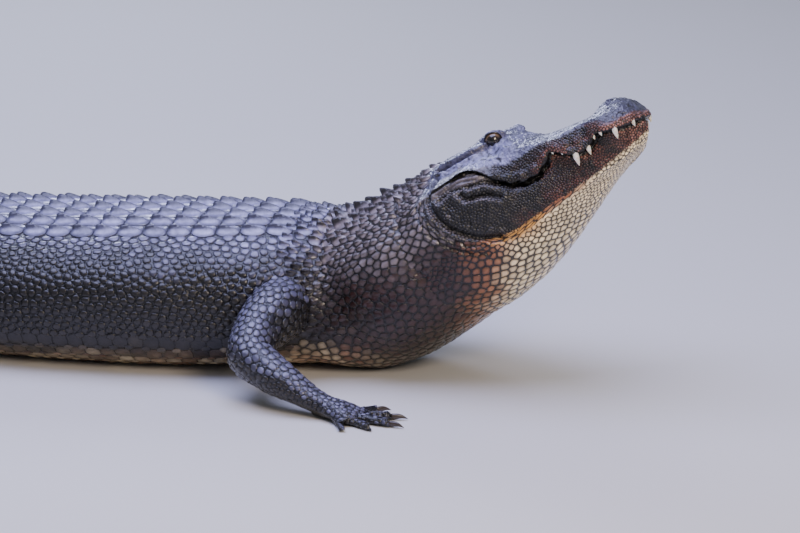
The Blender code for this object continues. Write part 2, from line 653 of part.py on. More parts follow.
def skull(finish):
    """The skull and upper jaw, with brows, lids, ear slits, nostrils and teeth."""
    rings = []
    for at in HEAD_PLACES + (SNOUT_TIP,):
        left = upper_half(at)
        outline = left[::-1] + [(-y, z) for y, z in left[1:]]
        lip = left[-1]
        palate = [(-lip[0] * 0.4, lip[1]), (lip[0] * 0.4, lip[1])]
        rings.append([head_point(at, y, z) for y, z in outline + palate])
    made = loft("skull", rings, finish)
    added = upper_teeth(finish)
    cut = []
    axes = (HEAD_FORWARD, HEAD_LEFT, HEAD_UP)
    for way in (1, -1):
        centre = head_point(EYE_PLACE[0], way * EYE_PLACE[1], EYE_PLACE[2])
        added.append(ball("lids", centre, axes, LID, finish, 14, 9))
        cut.append(lid_opening(way, finish))
        top = through(CROWN, NOSTRIL_PLACE[0]) + NOSTRIL_PAD[4] * 0.9
        cut.append(ball("nostril", head_point(NOSTRIL_PLACE[0], way * NOSTRIL_PLACE[1], top), axes,
                        NOSTRIL_SIZE, finish, 8, 6))
        cut.append(along_ear("slit", way, SLIT_OUT, SLIT_LEVEL, SLIT_SIZE, finish))
    boolean(made, added, "UNION")
    eyes = []
    for way, side in ((1, "left"), (-1, "right")):
        centre = head_point(EYE_PLACE[0], way * EYE_PLACE[1], EYE_PLACE[2])
        eyes.append(ball("eye_" + side, centre, axes, (EYE_RADIUS,) * 3, finish, 12, 7))
    boolean(made, cut + [grown(eye) for eye in eyes], "DIFFERENCE")
    return made, eyes


def along_ear(name, way, out, level, size, finish):
    """A flat bar that follows the crown's edge over the ear, thinner at both ends."""
    rings = []
    for k in range(7):
        share = k / 6
        at = EAR_ENDS[0] + (EAR_ENDS[1] - EAR_ENDS[0]) * share
        thick = sqrt(sin(pi * (0.06 + 0.88 * share)))
        inward = out - EAR_TAPER * share ** 3
        rings.append([head_point(at, way * (inward + size[0] * thick * cos(pi * i / 4)),
                                 level + size[1] * thick * sin(pi * i / 4)) for i in range(8)])
    return loft(name, rings, finish)


def lower_jaw(finish):
    """The lower jaw with its muscle and the inflated throat under it."""
    rings = []
    for at in HEAD_PLACES:
        left = lower_half(at)
        outline = left + [(-y, z) for y, z in left[-2::-1]]
        floor = left[0]
        mouth = [(-floor[0] * 0.4, floor[1]), (floor[0] * 0.4, floor[1])]
        rings.append([head_point(at, y, z) for y, z in outline + mouth])
    return loft("lower_jaw", rings, finish)


def mirrored(point, way, on):
    """The point of a left leg, or of the right one, set on by a distance along the body."""
    return Vector((point[0] + (on if way < 0 else 0), point[1] * way, point[2]))


def leg(name, knots, way, on, body, finish):
    """A leg from inside the trunk to the wrist or ankle, cut where it meets the trunk."""
    fine = 2
    rings = []
    total = (len(knots) - 1) * fine
    columns = [[(i, value) for i, value in enumerate(column)] for column in
               [[k[0][c] for k in knots] for c in range(3)] + [[k[j] for k in knots] for j in (1, 2)]]

    def place(t):
        return mirrored([through(columns[c], t) for c in range(3)], way, on)

    for i in range(total + 1):
        t = i / fine
        along = (place(min(t + 0.2, len(knots) - 1)) - place(max(t - 0.2, 0))).normalized()
        side = along.cross(Vector((0, 0, 1))).normalized()
        up = side.cross(along)
        wide, high = through(columns[3], t), through(columns[4], t)
        ring = []
        for k in range(10):
            turn = 2 * pi * (k + 0.5) / 10
            point = place(t) + side * wide * cos(turn) + up * high * sin(turn)
            point.z = max(point.z, 0)
            ring.append(point)
        rings.append(ring)
    return clear_of(loft(name, rings, finish), body)


def flat_ring(centre, ahead, wide, high, sides):
    """A ring across a foot or toe, flattened where it meets the floor."""
    side = Vector((-ahead.y, ahead.x, 0)).normalized()
    ring = []
    for k in range(sides):
        turn = 2 * pi * k / sides
        point = centre + side * wide * cos(turn) + Vector((0, 0, high * sin(turn)))
        point.z = max(point.z, 0)
        ring.append(point)
    return ring


def foot(name, wrist, shape, way, leg_node, finish):
    """A foot flat on the floor, with toes, claws and, behind, the web between the toes."""
    heading, length, half_width, toes = shape
    ahead = Vector((cos(radians(heading)), sin(radians(heading)) * way, 0))
    rings = []
    for share, wide, high in PALM_SECTIONS:
        height = PALM_HEIGHT * high
        centre = Vector((wrist.x, wrist.y, height * 0.9)) + ahead * length * share
        rings.append(flat_ring(centre, ahead, half_width * wide, height, 8))
    palm = loft(name, rings, finish)
    added, ends = [], []
    for spread, reach, radius, clawed in toes:
        angle = radians(heading + spread) * way
        out = Vector((cos(angle), sin(angle), 0))
        share = spread / 60
        side = Vector((-ahead.y, ahead.x, 0)) * way
        base = Vector((wrist.x, wrist.y, 0)) + ahead * length * (0.86 - 0.30 * share ** 2)
        base += side * half_width * share * 0.95
        rings = []
        for part, thick, lift in TOE_SECTIONS:
            centre = base + out * reach * part
            centre.z = radius * lift * 0.80
            rings.append(flat_ring(centre, out, radius * thick, radius * thick, 6))
        added.append(loft("toe", rings, finish))
        ends.append((base + out * reach * 0.58, out))
        if clawed:
            tip = base + out * reach
            rings = []
            for part, thick, height in CLAW_SECTIONS:
                centre = tip + out * CLAW_LENGTH * part
                centre.z = height
                rings.append(flat_ring(centre, out, thick, thick * 1.15, 4))
            added.append(loft("claw", rings, finish))
    if len(toes) == 4:
        rim = [Vector((wrist.x, wrist.y, 0)) + ahead * length * 0.35]
        for i, (end, out) in enumerate(ends):
            rim.append(end)
            if i < len(ends) - 1:
                rim.append((end + ends[i + 1][0]) / 2 - (out + ends[i + 1][1]) * 0.007)
        count = len(rim)
        vertices = rim + [point + Vector((0, 0, WEB_THICKNESS)) for point in rim]
        faces = [tuple(range(count)), tuple(range(count, 2 * count))]
        faces += [(i, (i + 1) % count, count + (i + 1) % count, count + i) for i in range(count)]
        added.append(closed_mesh("web", vertices, faces, finish))
    boolean(palm, added, "UNION")
    return clear_of(palm, [leg_node])


def main():
    for thing in list(bpy.data.objects):
        bpy.data.objects.remove(thing)
    hide = material("wet_hide", (0.035, 0.032, 0.030), 0.35)
    iris = material("eye", (0.30, 0.20, 0.08), 0.10)
    torso = trunk(hide)
    neck = body_length("neck", NECK_START, NECK_END, 9, 26, hide)
    for side, way in (("left", 1), ("right", -1)):
        for place, knots, shape, on in (("fore", FORE_LEG, FORE_FOOT, RIGHT_LEGS_ON[0]),
                                        ("hind", HIND_LEG, HIND_FOOT, RIGHT_LEGS_ON[1])):
            limb = leg(f"{place}_leg_{side}", knots, way, on, [torso, neck], hide)
            foot(f"{place}_foot_{side}", mirrored(knots[-1][0], way, on), shape, way, limb, hide)
    boolean(neck, nuchal_plates(hide), "UNION")
    for number in range(1, len(TAIL_CUTS)):
        tail_length(number, hide)
    head, eyes = skull(hide)
    for eye in eyes:
        eye.data.materials[0] = iris
    for side, way in (("left", 1), ("right", -1)):
        clear_of(along_ear(f"ear_{side}", way, EAR_OUT, EAR_LEVEL, EAR_SIZE, hide), [head])
    lower_jaw(hide)


main()
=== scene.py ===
"""The looks of a life-size American alligator, lying on its belly with the head raised to bellow.

Metres, +Z up, +X towards the snout, +Y to the animal's left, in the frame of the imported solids.
The animal is put together from the inside out: one skin over the flesh, then eyes, lids, teeth
and claws, and over the skin a coat of solid scales in the rows and sizes that each part has.
"""

from math import cos, pi, radians, sin

import bpy
import numpy as np
from mathutils import Matrix, Vector, noise
from mathutils.bvhtree import BVHTree
from mathutils.kdtree import KDTree


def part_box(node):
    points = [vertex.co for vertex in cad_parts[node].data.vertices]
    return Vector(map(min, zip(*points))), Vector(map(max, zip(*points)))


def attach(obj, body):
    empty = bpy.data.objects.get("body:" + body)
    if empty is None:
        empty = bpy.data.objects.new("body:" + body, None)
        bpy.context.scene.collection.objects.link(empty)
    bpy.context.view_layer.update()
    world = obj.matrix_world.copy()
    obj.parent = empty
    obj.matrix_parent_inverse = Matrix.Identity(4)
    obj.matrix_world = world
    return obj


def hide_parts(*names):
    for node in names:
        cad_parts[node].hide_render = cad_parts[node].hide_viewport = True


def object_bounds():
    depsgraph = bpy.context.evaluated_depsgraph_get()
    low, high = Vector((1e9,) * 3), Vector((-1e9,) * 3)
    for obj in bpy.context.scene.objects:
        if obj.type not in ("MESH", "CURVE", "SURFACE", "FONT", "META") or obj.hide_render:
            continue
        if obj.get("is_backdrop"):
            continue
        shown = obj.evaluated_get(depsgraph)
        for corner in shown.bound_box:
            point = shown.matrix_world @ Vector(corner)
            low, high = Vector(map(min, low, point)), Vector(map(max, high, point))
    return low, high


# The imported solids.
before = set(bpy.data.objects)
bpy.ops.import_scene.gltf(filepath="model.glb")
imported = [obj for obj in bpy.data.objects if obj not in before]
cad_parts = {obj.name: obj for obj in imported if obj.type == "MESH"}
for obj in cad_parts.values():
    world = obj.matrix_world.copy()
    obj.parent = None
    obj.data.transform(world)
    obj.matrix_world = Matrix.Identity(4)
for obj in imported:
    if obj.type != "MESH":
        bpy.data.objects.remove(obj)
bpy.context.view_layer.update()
bpy.ops.object.select_all(action="DESELECT")

# The camera looks at the animal's right side from a little ahead and above, through a long lens.
# The frame is 800 by 533, and the point between the eyes stands at its place in it.
FRAME_WIDTH, FRAME_HEIGHT = 800, 533
METRES_PER_PIXEL = 0.0019
EYES_IN_FRAME = (505.2, 136.9)
CAMERA_TURN, CAMERA_RISE = radians(15), radians(15)
CAMERA_DISTANCE, SENSOR, FARTHEST = 12.0, 36.0, 100
eye_corners = [Vector(corner) for name in ("eye_left", "eye_right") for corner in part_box(name)]
between_eyes = sum(eye_corners, Vector()) / 4
view_right = Vector((cos(CAMERA_TURN), sin(CAMERA_TURN), 0))
view_ahead = Vector((-sin(CAMERA_TURN) * cos(CAMERA_RISE), cos(CAMERA_TURN) * cos(CAMERA_RISE),
                     -sin(CAMERA_RISE)))
view_up = view_right.cross(view_ahead)
target = (between_eyes + view_right * (FRAME_WIDTH / 2 - EYES_IN_FRAME[0]) * METRES_PER_PIXEL
          - view_up * (FRAME_HEIGHT / 2 - EYES_IN_FRAME[1]) * METRES_PER_PIXEL)
bpy.ops.object.camera_add(location=target - view_ahead * CAMERA_DISTANCE,
                          rotation=view_ahead.to_track_quat("-Z", "Y").to_euler())
camera = bpy.context.object
camera.data.sensor_width = SENSOR
camera.data.lens = SENSOR * CAMERA_DISTANCE / (FRAME_WIDTH * METRES_PER_PIXEL)
camera.data.clip_end = FARTHEST
bpy.context.scene.camera = camera


def linear(code):
    """A linear colour from an sRGB hex code."""
    parts = [int(code[i:i + 2], 16) / 255 for i in (1, 3, 5)]
    return np.array([p / 12.92 if p <= 0.04045 else ((p + 0.055) / 1.055) ** 2.4 for p in parts])


def add_node(tree, kind, links=None, **settings):
    """Adds a shader node. A link is a value for an input, or the output that feeds it."""
    made = tree.nodes.new(kind)
    for name, value in settings.items():
        setattr(made, name, value)
    for name, value in (links or {}).items():
        if isinstance(value, bpy.types.NodeSocket):
            tree.links.new(value, made.inputs[name])
        else:
            made.inputs[name].default_value = value
    return made


# The floor is pale painted board, dull and even. The light is a wide cool softbox overhead, as an
# open sky is, a smaller warm one ahead of the animal's right side and a dim one behind it.
FLOOR_SIZE = 60
FLOOR_COLOUR, FLOOR_ROUGHNESS = "#C9C8C4", 0.7
bpy.ops.mesh.primitive_plane_add(size=FLOOR_SIZE, location=(0, 0, 0))
floor = bpy.context.object
floor.name = "floor"
floor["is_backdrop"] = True
board = bpy.data.materials.new("painted_board")
board.use_nodes = True
shader = board.node_tree.nodes["Principled BSDF"]
shader.inputs["Base Color"].default_value = (*linear(FLOOR_COLOUR), 1)
shader.inputs["Roughness"].default_value = FLOOR_ROUGHNESS
floor.data.materials.append(board)
LIGHTS = {"sky_softbox": ((-0.2, -0.3, 3.3), 3.2, 235, "#C4C8FF"),
          "key_softbox": ((2.6, -3.0, 2.4), 1.4, 118, "#FFE9D2"),
          "back_softbox": ((-1.6, 3.4, 2.0), 1.4, 70, "#D3DAFF")}
AIM = Vector((0.3, 0.0, 0.25))
ROOM_COLOUR, ROOM_STRENGTH = "#DDE3EE", 0.36
for name, (place, size, watts, tint) in LIGHTS.items():
    towards = (AIM - Vector(place)).to_track_quat("-Z", "Y").to_euler()
    bpy.ops.object.light_add(type="AREA", location=place, rotation=towards)
    lamp = bpy.context.object
    lamp.name = name
    lamp.data.size = size
    lamp.data.energy = watts
    lamp.data.color = linear(tint)
world = bpy.data.worlds.new("studio")
bpy.context.scene.world = world
world.use_nodes = True
background = world.node_tree.nodes["Background"]
background.inputs["Color"].default_value = (*linear(ROOM_COLOUR), 1)
background.inputs["Strength"].default_value = ROOM_STRENGTH

# The line through the middle of the body, from the tail's tip to the back of the head. It bends
# from side to side along the tail and turns up sharply in the neck.
TAIL_TIP, NECK_END = -2.40, 0.585
LEVEL_END = 0.252
STEP = 0.005
YAW = ((-2.40, 24), (-2.15, 16), (-1.85, -2), (-1.55, -19), (-1.25, -23), (-0.90, -11), (-0.60, -1),
       (-0.40, 0), (0.28, 0), (0.42, -4), (0.585, -12))
PITCH = ((-2.40, 0), (0.25, 0), (0.30, 4), (0.35, 17), (0.41, 32), (0.50, 35), (0.585, 30))
ROLL = ((0.30, 0), (0.40, 2), (0.585, 6))
LEVEL = ((-2.40, 0.022), (-2.20, 0.042), (-1.90, 0.060), (-1.50, 0.078), (-1.10, 0.098), (-0.75, 0.116),
         (-0.55, 0.124), (-0.20, 0.128), (0.0, 0.132), (LEVEL_END, 0.132))


def through(knots, at):
    """The smooth curve through (place, value) knots, read at many places."""
    x, y = np.array(knots, float).T
    slope = np.diff(y) / np.diff(x)
    product = slope[:-1] * slope[1:]
    total = np.where(product > 0, slope[:-1] + slope[1:], 1)
    tangent = np.concatenate(([slope[0]], np.where(product > 0, 2 * product / total, 0), [slope[-1]]))
    at = np.clip(at, x[0], x[-1])
    i = np.clip(np.searchsorted(x, at) - 1, 0, len(x) - 2)
    span = x[i + 1] - x[i]
    t = (at - x[i]) / span
    rise = y[i] * (1 + 2 * t) * (1 - t) ** 2 + y[i + 1] * t * t * (3 - 2 * t)
    return rise + span * (tangent[i] * t * (1 - t) ** 2 - tangent[i + 1] * t * t * (1 - t))


def directions(yaw, pitch, roll):
    """Forward, left and up for yaws to the left, pitches upwards and rolls, in degrees."""
    y, p, r = np.radians(yaw), np.radians(pitch), np.radians(roll)
    forward = np.stack([np.cos(p) * np.cos(y), np.cos(p) * np.sin(y), np.sin(p)], -1)
    level = np.stack([-np.sin(y), np.cos(y), 0 * y], -1)
    left = level * np.cos(r)[..., None] - np.cross(forward, level) * np.sin(r)[..., None]
    return forward, left, np.cross(forward, left)


numbers = np.arange(round(TAIL_TIP / STEP), round(NECK_END / STEP) + 1)
stations = numbers * STEP
middles = stations[:-1] + STEP / 2
steps = directions(through(YAW, middles), through(PITCH, middles), 0 * middles)[0] * STEP
line = np.vstack([np.zeros(3), np.cumsum(steps, 0)])
line -= line[numbers == 0]
line[:, 2] += through(LEVEL, 0.0)
line[stations < LEVEL_END, 2] = through(LEVEL, stations[stations < LEVEL_END])
line_forward, line_left, line_up = directions(through(YAW, stations), through(PITCH, stations),
                                              through(ROLL, stations))

# The trunk, neck and tail round that line. The half widths, rises and drops are of the finished
# animal; the skin lies under them by the depth of the scales, and flat where it meets the floor.
COAT_DEPTH = 0.0022
HALF_WIDTH = ((-2.40, 0.006), (-2.25, 0.017), (-2.00, 0.033), (-1.70, 0.051), (-1.40, 0.073),
              (-1.10, 0.100), (-0.85, 0.136), (-0.68, 0.168), (-0.55, 0.198), (-0.42, 0.236),
              (-0.25, 0.262), (-0.08, 0.260), (0.08, 0.240), (0.20, 0.214), (0.30, 0.190),
              (0.375, 0.176), (0.45, 0.196), (0.52, 0.194), (0.585, 0.180))
RISE = ((-2.40, 0.010), (-2.20, 0.034), (-1.90, 0.056), (-1.50, 0.082), (-1.10, 0.104), (-0.80, 0.119),
        (-0.55, 0.125), (-0.20, 0.133), (0.10, 0.147), (0.25, 0.155), (0.33, 0.153), (0.38, 0.142),
        (0.45, 0.130), (0.52, 0.124), (0.585, 0.120))
DROP = ((-2.40, 0.024), (-2.20, 0.045), (-1.90, 0.064), (-1.50, 0.083), (-1.10, 0.105), (-0.75, 0.126),
        (-0.55, 0.137), (-0.20, 0.142), (0.0, 0.144), (0.12, 0.138), (0.25, 0.130), (0.30, 0.130),
        (0.34, 0.148), (0.38, 0.168), (0.45, 0.178), (0.52, 0.176), (0.585, 0.171))
ROUND_TOP = ((-2.40, 1.7), (-1.60, 1.8), (-1.00, 2.0), (-0.60, 2.3), (0.20, 2.35), (0.45, 2.2))
ROUND_BOTTOM = ((-2.40, 2.2), (-1.00, 2.3), (-0.50, 2.6), (0.15, 2.6), (0.40, 2.2))
BODY_AROUND = 120


def body_points(i, turn, under=COAT_DEPTH):
    """Points of the skin at stations of the line and turns round it, from the left over the back."""
    over = np.sin(turn) >= 0
    at = stations[i]
    power = 2 / np.where(over, through(ROUND_TOP, at), through(ROUND_BOTTOM, at))
    reach = np.where(over, through(RISE, at), through(DROP, at)) - under
    side = np.abs(np.cos(turn)) ** power * np.sign(np.cos(turn))
    lift = np.abs(np.sin(turn)) ** power * np.where(over, 1, -1)
    half = np.maximum(through(HALF_WIDTH, at) - under, 0.002)
    points = line[i] + line_left[i] * (half * side)[..., None] + line_up[i] * (reach * lift)[..., None]
    points[..., 2] = np.maximum(points[..., 2], under)
    return points


def lofted(name, rings):
    """A closed mesh object through rings of as many points each."""
    rings = np.array(rings)
    count, around = rings.shape[:2]
    faces = [(r * around + i, r * around + (i + 1) % around, (r + 1) * around + (i + 1) % around,
              (r + 1) * around + i) for r in range(count - 1) for i in range(around)]
    faces += [tuple(range(around))[::-1], tuple(range((count - 1) * around, count * around))]
    mesh = bpy.data.meshes.new(name)
    mesh.from_pydata(rings.reshape(-1, 3).tolist(), [], faces)
    made = bpy.data.objects.new(name, mesh)
    bpy.context.scene.collection.objects.link(made)
    return made


ring_rows, ring_turns = np.meshgrid(np.arange(0, len(stations), 2),
                                    (np.arange(BODY_AROUND) + 0.5) * 2 * pi / BODY_AROUND, indexing="ij")
flesh = [lofted("flesh_body", body_points(ring_rows, ring_turns))]

# The head, in its own straight frame between the eyes: outlines from the crown down to the lip,
# in under the lip to the mouth's line, and down over the jaw muscle to the keel of the throat.
HEAD_REAR, SPINE_UNDER_EYES = -0.20, 0.130
SNOUT_TIP, JAW_TIP = 0.2934, 0.286
CROWN = ((-0.2, -0.010), (-0.15, -0.004), (-0.1, 0.000), (-0.04, 0.001), (0.0, -0.003), (0.02, -0.008),
         (0.04, -0.017), (0.06, -0.027), (0.085, -0.036), (0.14, -0.042), (0.201, -0.0455), (0.237, -0.0436),
         (0.269, -0.047), (0.285, -0.062), (0.294, -0.082))
CROWN_EDGE_WIDTH = ((-0.2, 0.073), (-0.1, 0.074), (-0.04, 0.067), (0.02, 0.058), (0.069, 0.057),
                    (0.155, 0.058), (0.237, 0.045), (0.285, 0.024), (0.294, 0.008))
CROWN_EDGE_DROP = ((-0.2, 0.008), (-0.1, 0.002), (-0.03, 0.001), (0.03, 0.005), (0.117, 0.007),
                   (0.237, 0.006), (0.294, 0.004))
CHEEK_WIDTH = ((-0.2, 0.120), (-0.12, 0.110), (-0.05, 0.104), (0.02, 0.100), (0.069, 0.094),
               (0.155, 0.084), (0.201, 0.064), (0.237, 0.068), (0.285, 0.038), (0.294, 0.015))
CHEEK = ((-0.2, -0.044), (-0.12, -0.033), (-0.05, -0.032), (0.02, -0.043), (0.069, -0.052),
         (0.155, -0.064), (0.238, -0.062), (0.285, -0.076), (0.294, -0.087))
LIP_WIDTH = ((-0.2, 0.166), (-0.15, 0.163), (-0.1, 0.157), (-0.05, 0.146), (0.0, 0.132), (0.05, 0.114),
             (0.088, 0.103), (0.121, 0.095), (0.155, 0.095), (0.178, 0.084), (0.201, 0.074),
             (0.228, 0.077), (0.257, 0.069), (0.276, 0.051), (0.285, 0.038), (0.294, 0.018))
LIP = ((-0.2, -0.080), (-0.15, -0.066), (-0.1, -0.0535), (-0.062, -0.0475), (-0.042, -0.0435),
       (-0.024, -0.047), (0.0, -0.067), (0.017, -0.088), (0.028, -0.094), (0.036, -0.1025), (0.048, -0.1035),
       (0.060, -0.1105), (0.074, -0.1075), (0.088, -0.1085), (0.100, -0.0985), (0.112, -0.094),
       (0.124, -0.080), (0.14, -0.087), (0.165, -0.102), (0.18, -0.105), (0.204, -0.097), (0.222, -0.0845),
       (0.25, -0.091), (0.273, -0.094), (0.294, -0.091))
JAW_WIDTH = ((-0.2, 0.164), (-0.1, 0.157), (-0.05, 0.142), (0.0, 0.125), (0.05, 0.104), (0.121, 0.083),
             (0.155, 0.079), (0.201, 0.059), (0.237, 0.058), (0.271, 0.040), (0.286, 0.014))
JAW_BULGE_WIDTH = ((-0.2, 0.178), (-0.14, 0.176), (-0.08, 0.168), (-0.02, 0.150), (0.05, 0.116),
                   (0.121, 0.086), (0.201, 0.061), (0.257, 0.043), (0.286, 0.012))
JAW_BULGE = ((-0.2, -0.120), (-0.08, -0.096), (0.0, -0.110), (0.05, -0.125), (0.155, -0.124),
             (0.237, -0.118), (0.286, -0.106))
JAW_EDGE_WIDTH = ((-0.2, 0.174), (-0.12, 0.166), (-0.05, 0.152), (0.05, 0.112), (0.098, 0.094),
                  (0.183, 0.062), (0.247, 0.034), (0.286, 0.008))
JAW_EDGE = ((-0.2, -0.172), (-0.1, -0.160), (0.0, -0.166), (0.088, -0.168), (0.174, -0.158),
            (0.247, -0.142), (0.286, -0.114))
THROAT_WIDTH = ((-0.2, 0.126), (-0.12, 0.122), (-0.05, 0.112), (0.05, 0.088), (0.136, 0.062),
                (0.201, 0.038), (0.257, 0.018), (0.286, 0.004))
THROAT = ((-0.2, -0.262), (-0.1, -0.252), (-0.02, -0.235), (0.059, -0.207), (0.136, -0.179),
          (0.21, -0.152), (0.257, -0.139), (0.286, -0.118))
THROAT_KEEL = ((-0.2, -0.301), (-0.14, -0.298), (-0.077, -0.286), (-0.005, -0.263), (0.07, -0.230),
               (0.136, -0.196), (0.205, -0.159), (0.257, -0.141), (0.286, -0.121))
NOSTRIL_PAD = (0.236, 0.0, 0.034, 0.034, 0.013)
BROW = (-0.006, 0.034, 0.032, 0.026, 0.012)
MOUTH_OPEN = ((-0.12, 0.004), (-0.06, 0.006), (-0.01, 0.009), (0.06, 0.010), (0.10, 0.008), (0.135, 0.005),
              (0.29, 0.0045))
MOUTH_DEPTH = 0.020
MOUTH_CORNER = (-0.118, -0.098)
HEAD_STATIONS, HEAD_MIDDLE = 200, 0.12

head_forward, head_left, head_up = (way[-1] for way in (line_forward, line_left, line_up))
eyes_place = line[-1] - head_forward * HEAD_REAR + head_up * SPINE_UNDER_EYES
head_axes = np.array([head_forward, head_left, head_up])


def head_point(forward, left, up):
    """Places of the head's own frame, in the model's."""
    return eyes_place + np.stack(np.broadcast_arrays(forward, left, up), -1) @ head_axes


def smooth_step(low, high, value):
    """0 below low, 1 above high, with a smooth rise between them."""
    t = np.clip((value - low) / (high - low), 0, 1)
    return t * t * (3 - 2 * t)


def curve_through(points, before, after, samples):
    """Points along smooth curves through rows of (stations, 2) points, samples to each stretch."""
    row = [before, *points, after]
    made = []
    for a, b, c, d in zip(row, row[1:], row[2:], row[3:]):
        for t in np.arange(samples) / samples:
            made.append((a * (-t + 2 * t * t - t ** 3) + b * (2 - 5 * t * t + 3 * t ** 3)
                         + c * (t + 4 * t * t - 3 * t ** 3) + d * (t ** 3 - t * t)) / 2)
    return made + [points[-1]]


def mouth_open(at):
    """How far the jaw's edge hangs below the lip at places along the head."""
    return through(MOUTH_OPEN, at)


def pairs(*columns):
    """Rows of (width, height) at each station."""
    return [np.stack(np.broadcast_arrays(w, h), -1) for w, h in zip(columns[::2], columns[1::2])]


def swelling(forward, left, bump):
    """How far a rounded swelling lifts the skin at places of the head."""
    at, side, long, wide, height = bump
    far = ((forward - at) / long) ** 2 + ((np.abs(left) - side) / wide) ** 2
    return height * np.maximum(0, 1 - far / 2.2) ** 2


def head_outline(at):
    """The head's left outlines at places along it, from the crown to the throat's keel."""
    crown, lip = through(CROWN, at), through(LIP, at)
    upper = pairs(0 * at, crown, through(CROWN_EDGE_WIDTH, at), crown - through(CROWN_EDGE_DROP, at),
                  through(CHEEK_WIDTH, at), through(CHEEK, at), through(LIP_WIDTH, at), lip)
    mirrored = np.array([-1, 1])
    top = curve_through(upper, upper[1] * mirrored, upper[-1], 7)
    for point in top:
        point[..., 1] += swelling(at, point[..., 0], NOSTRIL_PAD) + swelling(at, point[..., 0], BROW)
    low = np.minimum(at, JAW_TIP)
    lower = pairs(through(JAW_WIDTH, low), lip - mouth_open(at), through(JAW_BULGE_WIDTH, low),
                  through(JAW_BULGE, low), through(JAW_EDGE_WIDTH, low), through(JAW_EDGE, low),
                  through(THROAT_WIDTH, low), through(THROAT, low), 0 * low, through(THROAT_KEEL, low))
    bottom = curve_through(lower, 2 * lower[0] - lower[1], lower[-2] * mirrored, 8)
    deep = MOUTH_DEPTH * smooth_step(*MOUTH_CORNER, at)
    inner = np.stack([np.maximum(through(JAW_WIDTH, low) - deep, 0.004), lip - mouth_open(at) * 0.3], -1)
    return np.array(top + [inner] + bottom)


at = np.linspace(HEAD_REAR - 0.02, SNOUT_TIP, HEAD_STATIONS)
outline = head_outline(at)
outline = np.concatenate([outline, outline[-2:0:-1] * np.array([-1, 1])]).transpose(1, 0, 2)
middle = np.array([0, -HEAD_MIDDLE])
rear = smooth_step(HEAD_REAR - 0.022, HEAD_REAR - 0.005, at)[:, None, None]
outline = middle + (outline - middle) * (0.9 + 0.1 * rear)
low_places = np.minimum(at, JAW_TIP)[:, None]
over_mouth = outline[..., 1] > (through(LIP, at) - mouth_open(at) / 2)[:, None]
head_places = np.where(over_mouth, at[:, None], low_places)
under = 1 - COAT_DEPTH / HEAD_MIDDLE
flesh.append(lofted("flesh_head", head_point(head_places, outline[..., 0] * under,
                                             middle[1] + (outline[..., 1] - middle[1]) * under)))

# The legs, from inside the trunk to the wrist or ankle: place, half width and half height of each
# section on the left. The right legs are their mirror images, set a little on along the body.
FORE_LEG = (((0.232, 0.120, 0.150), 0.058, 0.062), ((0.222, 0.205, 0.142), 0.058, 0.062),
            ((0.203, 0.275, 0.118), 0.050, 0.052), ((0.203, 0.330, 0.096), 0.046, 0.046),
            ((0.245, 0.366, 0.075), 0.043, 0.040), ((0.298, 0.388, 0.054), 0.037, 0.033),
            ((0.345, 0.400, 0.034), 0.029, 0.024), ((0.372, 0.405, 0.027), 0.027, 0.021))
HIND_LEG = (((-0.560, 0.100, 0.150), 0.088, 0.085), ((-0.545, 0.190, 0.148), 0.088, 0.082),
            ((-0.497, 0.270, 0.138), 0.074, 0.070), ((-0.442, 0.332, 0.122), 0.060, 0.058),
            ((-0.418, 0.378, 0.102), 0.050, 0.050), ((-0.452, 0.412, 0.084), 0.047, 0.046),
            ((-0.512, 0.426, 0.064), 0.042, 0.040), ((-0.566, 0.432, 0.045), 0.034, 0.034),
            ((-0.592, 0.436, 0.036), 0.028, 0.030))
RIGHT_LEGS_ON = {"fore": 0.035, "hind": -0.030}
LEG_KNOTS = {"fore": FORE_LEG, "hind": HIND_LEG}
LEG_ROUNDING, LEG_SIDES, PALM_SIDES, TOE_SIDES = 6, 32, 24, 14
leg_paths = {}
for limb, knots in LEG_KNOTS.items():
    for way, side in ((1, "left"), (-1, "right")):
        t = np.linspace(0, len(knots) - 1, (len(knots) - 1) * LEG_ROUNDING + 1)
        place = np.stack([through([(i, k[0][c]) for i, k in enumerate(knots)], t) for c in range(3)], -1)
        place = place * (1, way, 1) + np.array([RIGHT_LEGS_ON[limb] if way < 0 else 0, 0, 0])
        wide, high = (through([(i, k[c]) for i, k in enumerate(knots)], t) - COAT_DEPTH for c in (1, 2))
        ahead = np.gradient(place, axis=0)
        ahead /= np.linalg.norm(ahead, axis=1)[:, None]
        across = np.cross(ahead, (0, 0, 1))
        across /= np.linalg.norm(across, axis=1)[:, None]
        over = np.cross(across, ahead)
        turns = np.arange(LEG_SIDES) * 2 * pi / LEG_SIDES
        rings = (place[:, None] + across[:, None] * (wide[:, None] * np.cos(turns))[..., None]
                 + over[:, None] * (high[:, None] * np.sin(turns))[..., None])
        rings[..., 2] = np.maximum(rings[..., 2], COAT_DEPTH)
        flesh.append(lofted(f"flesh_{limb}_leg_{side}", rings))
        leg_paths[limb, side] = (place, ahead)

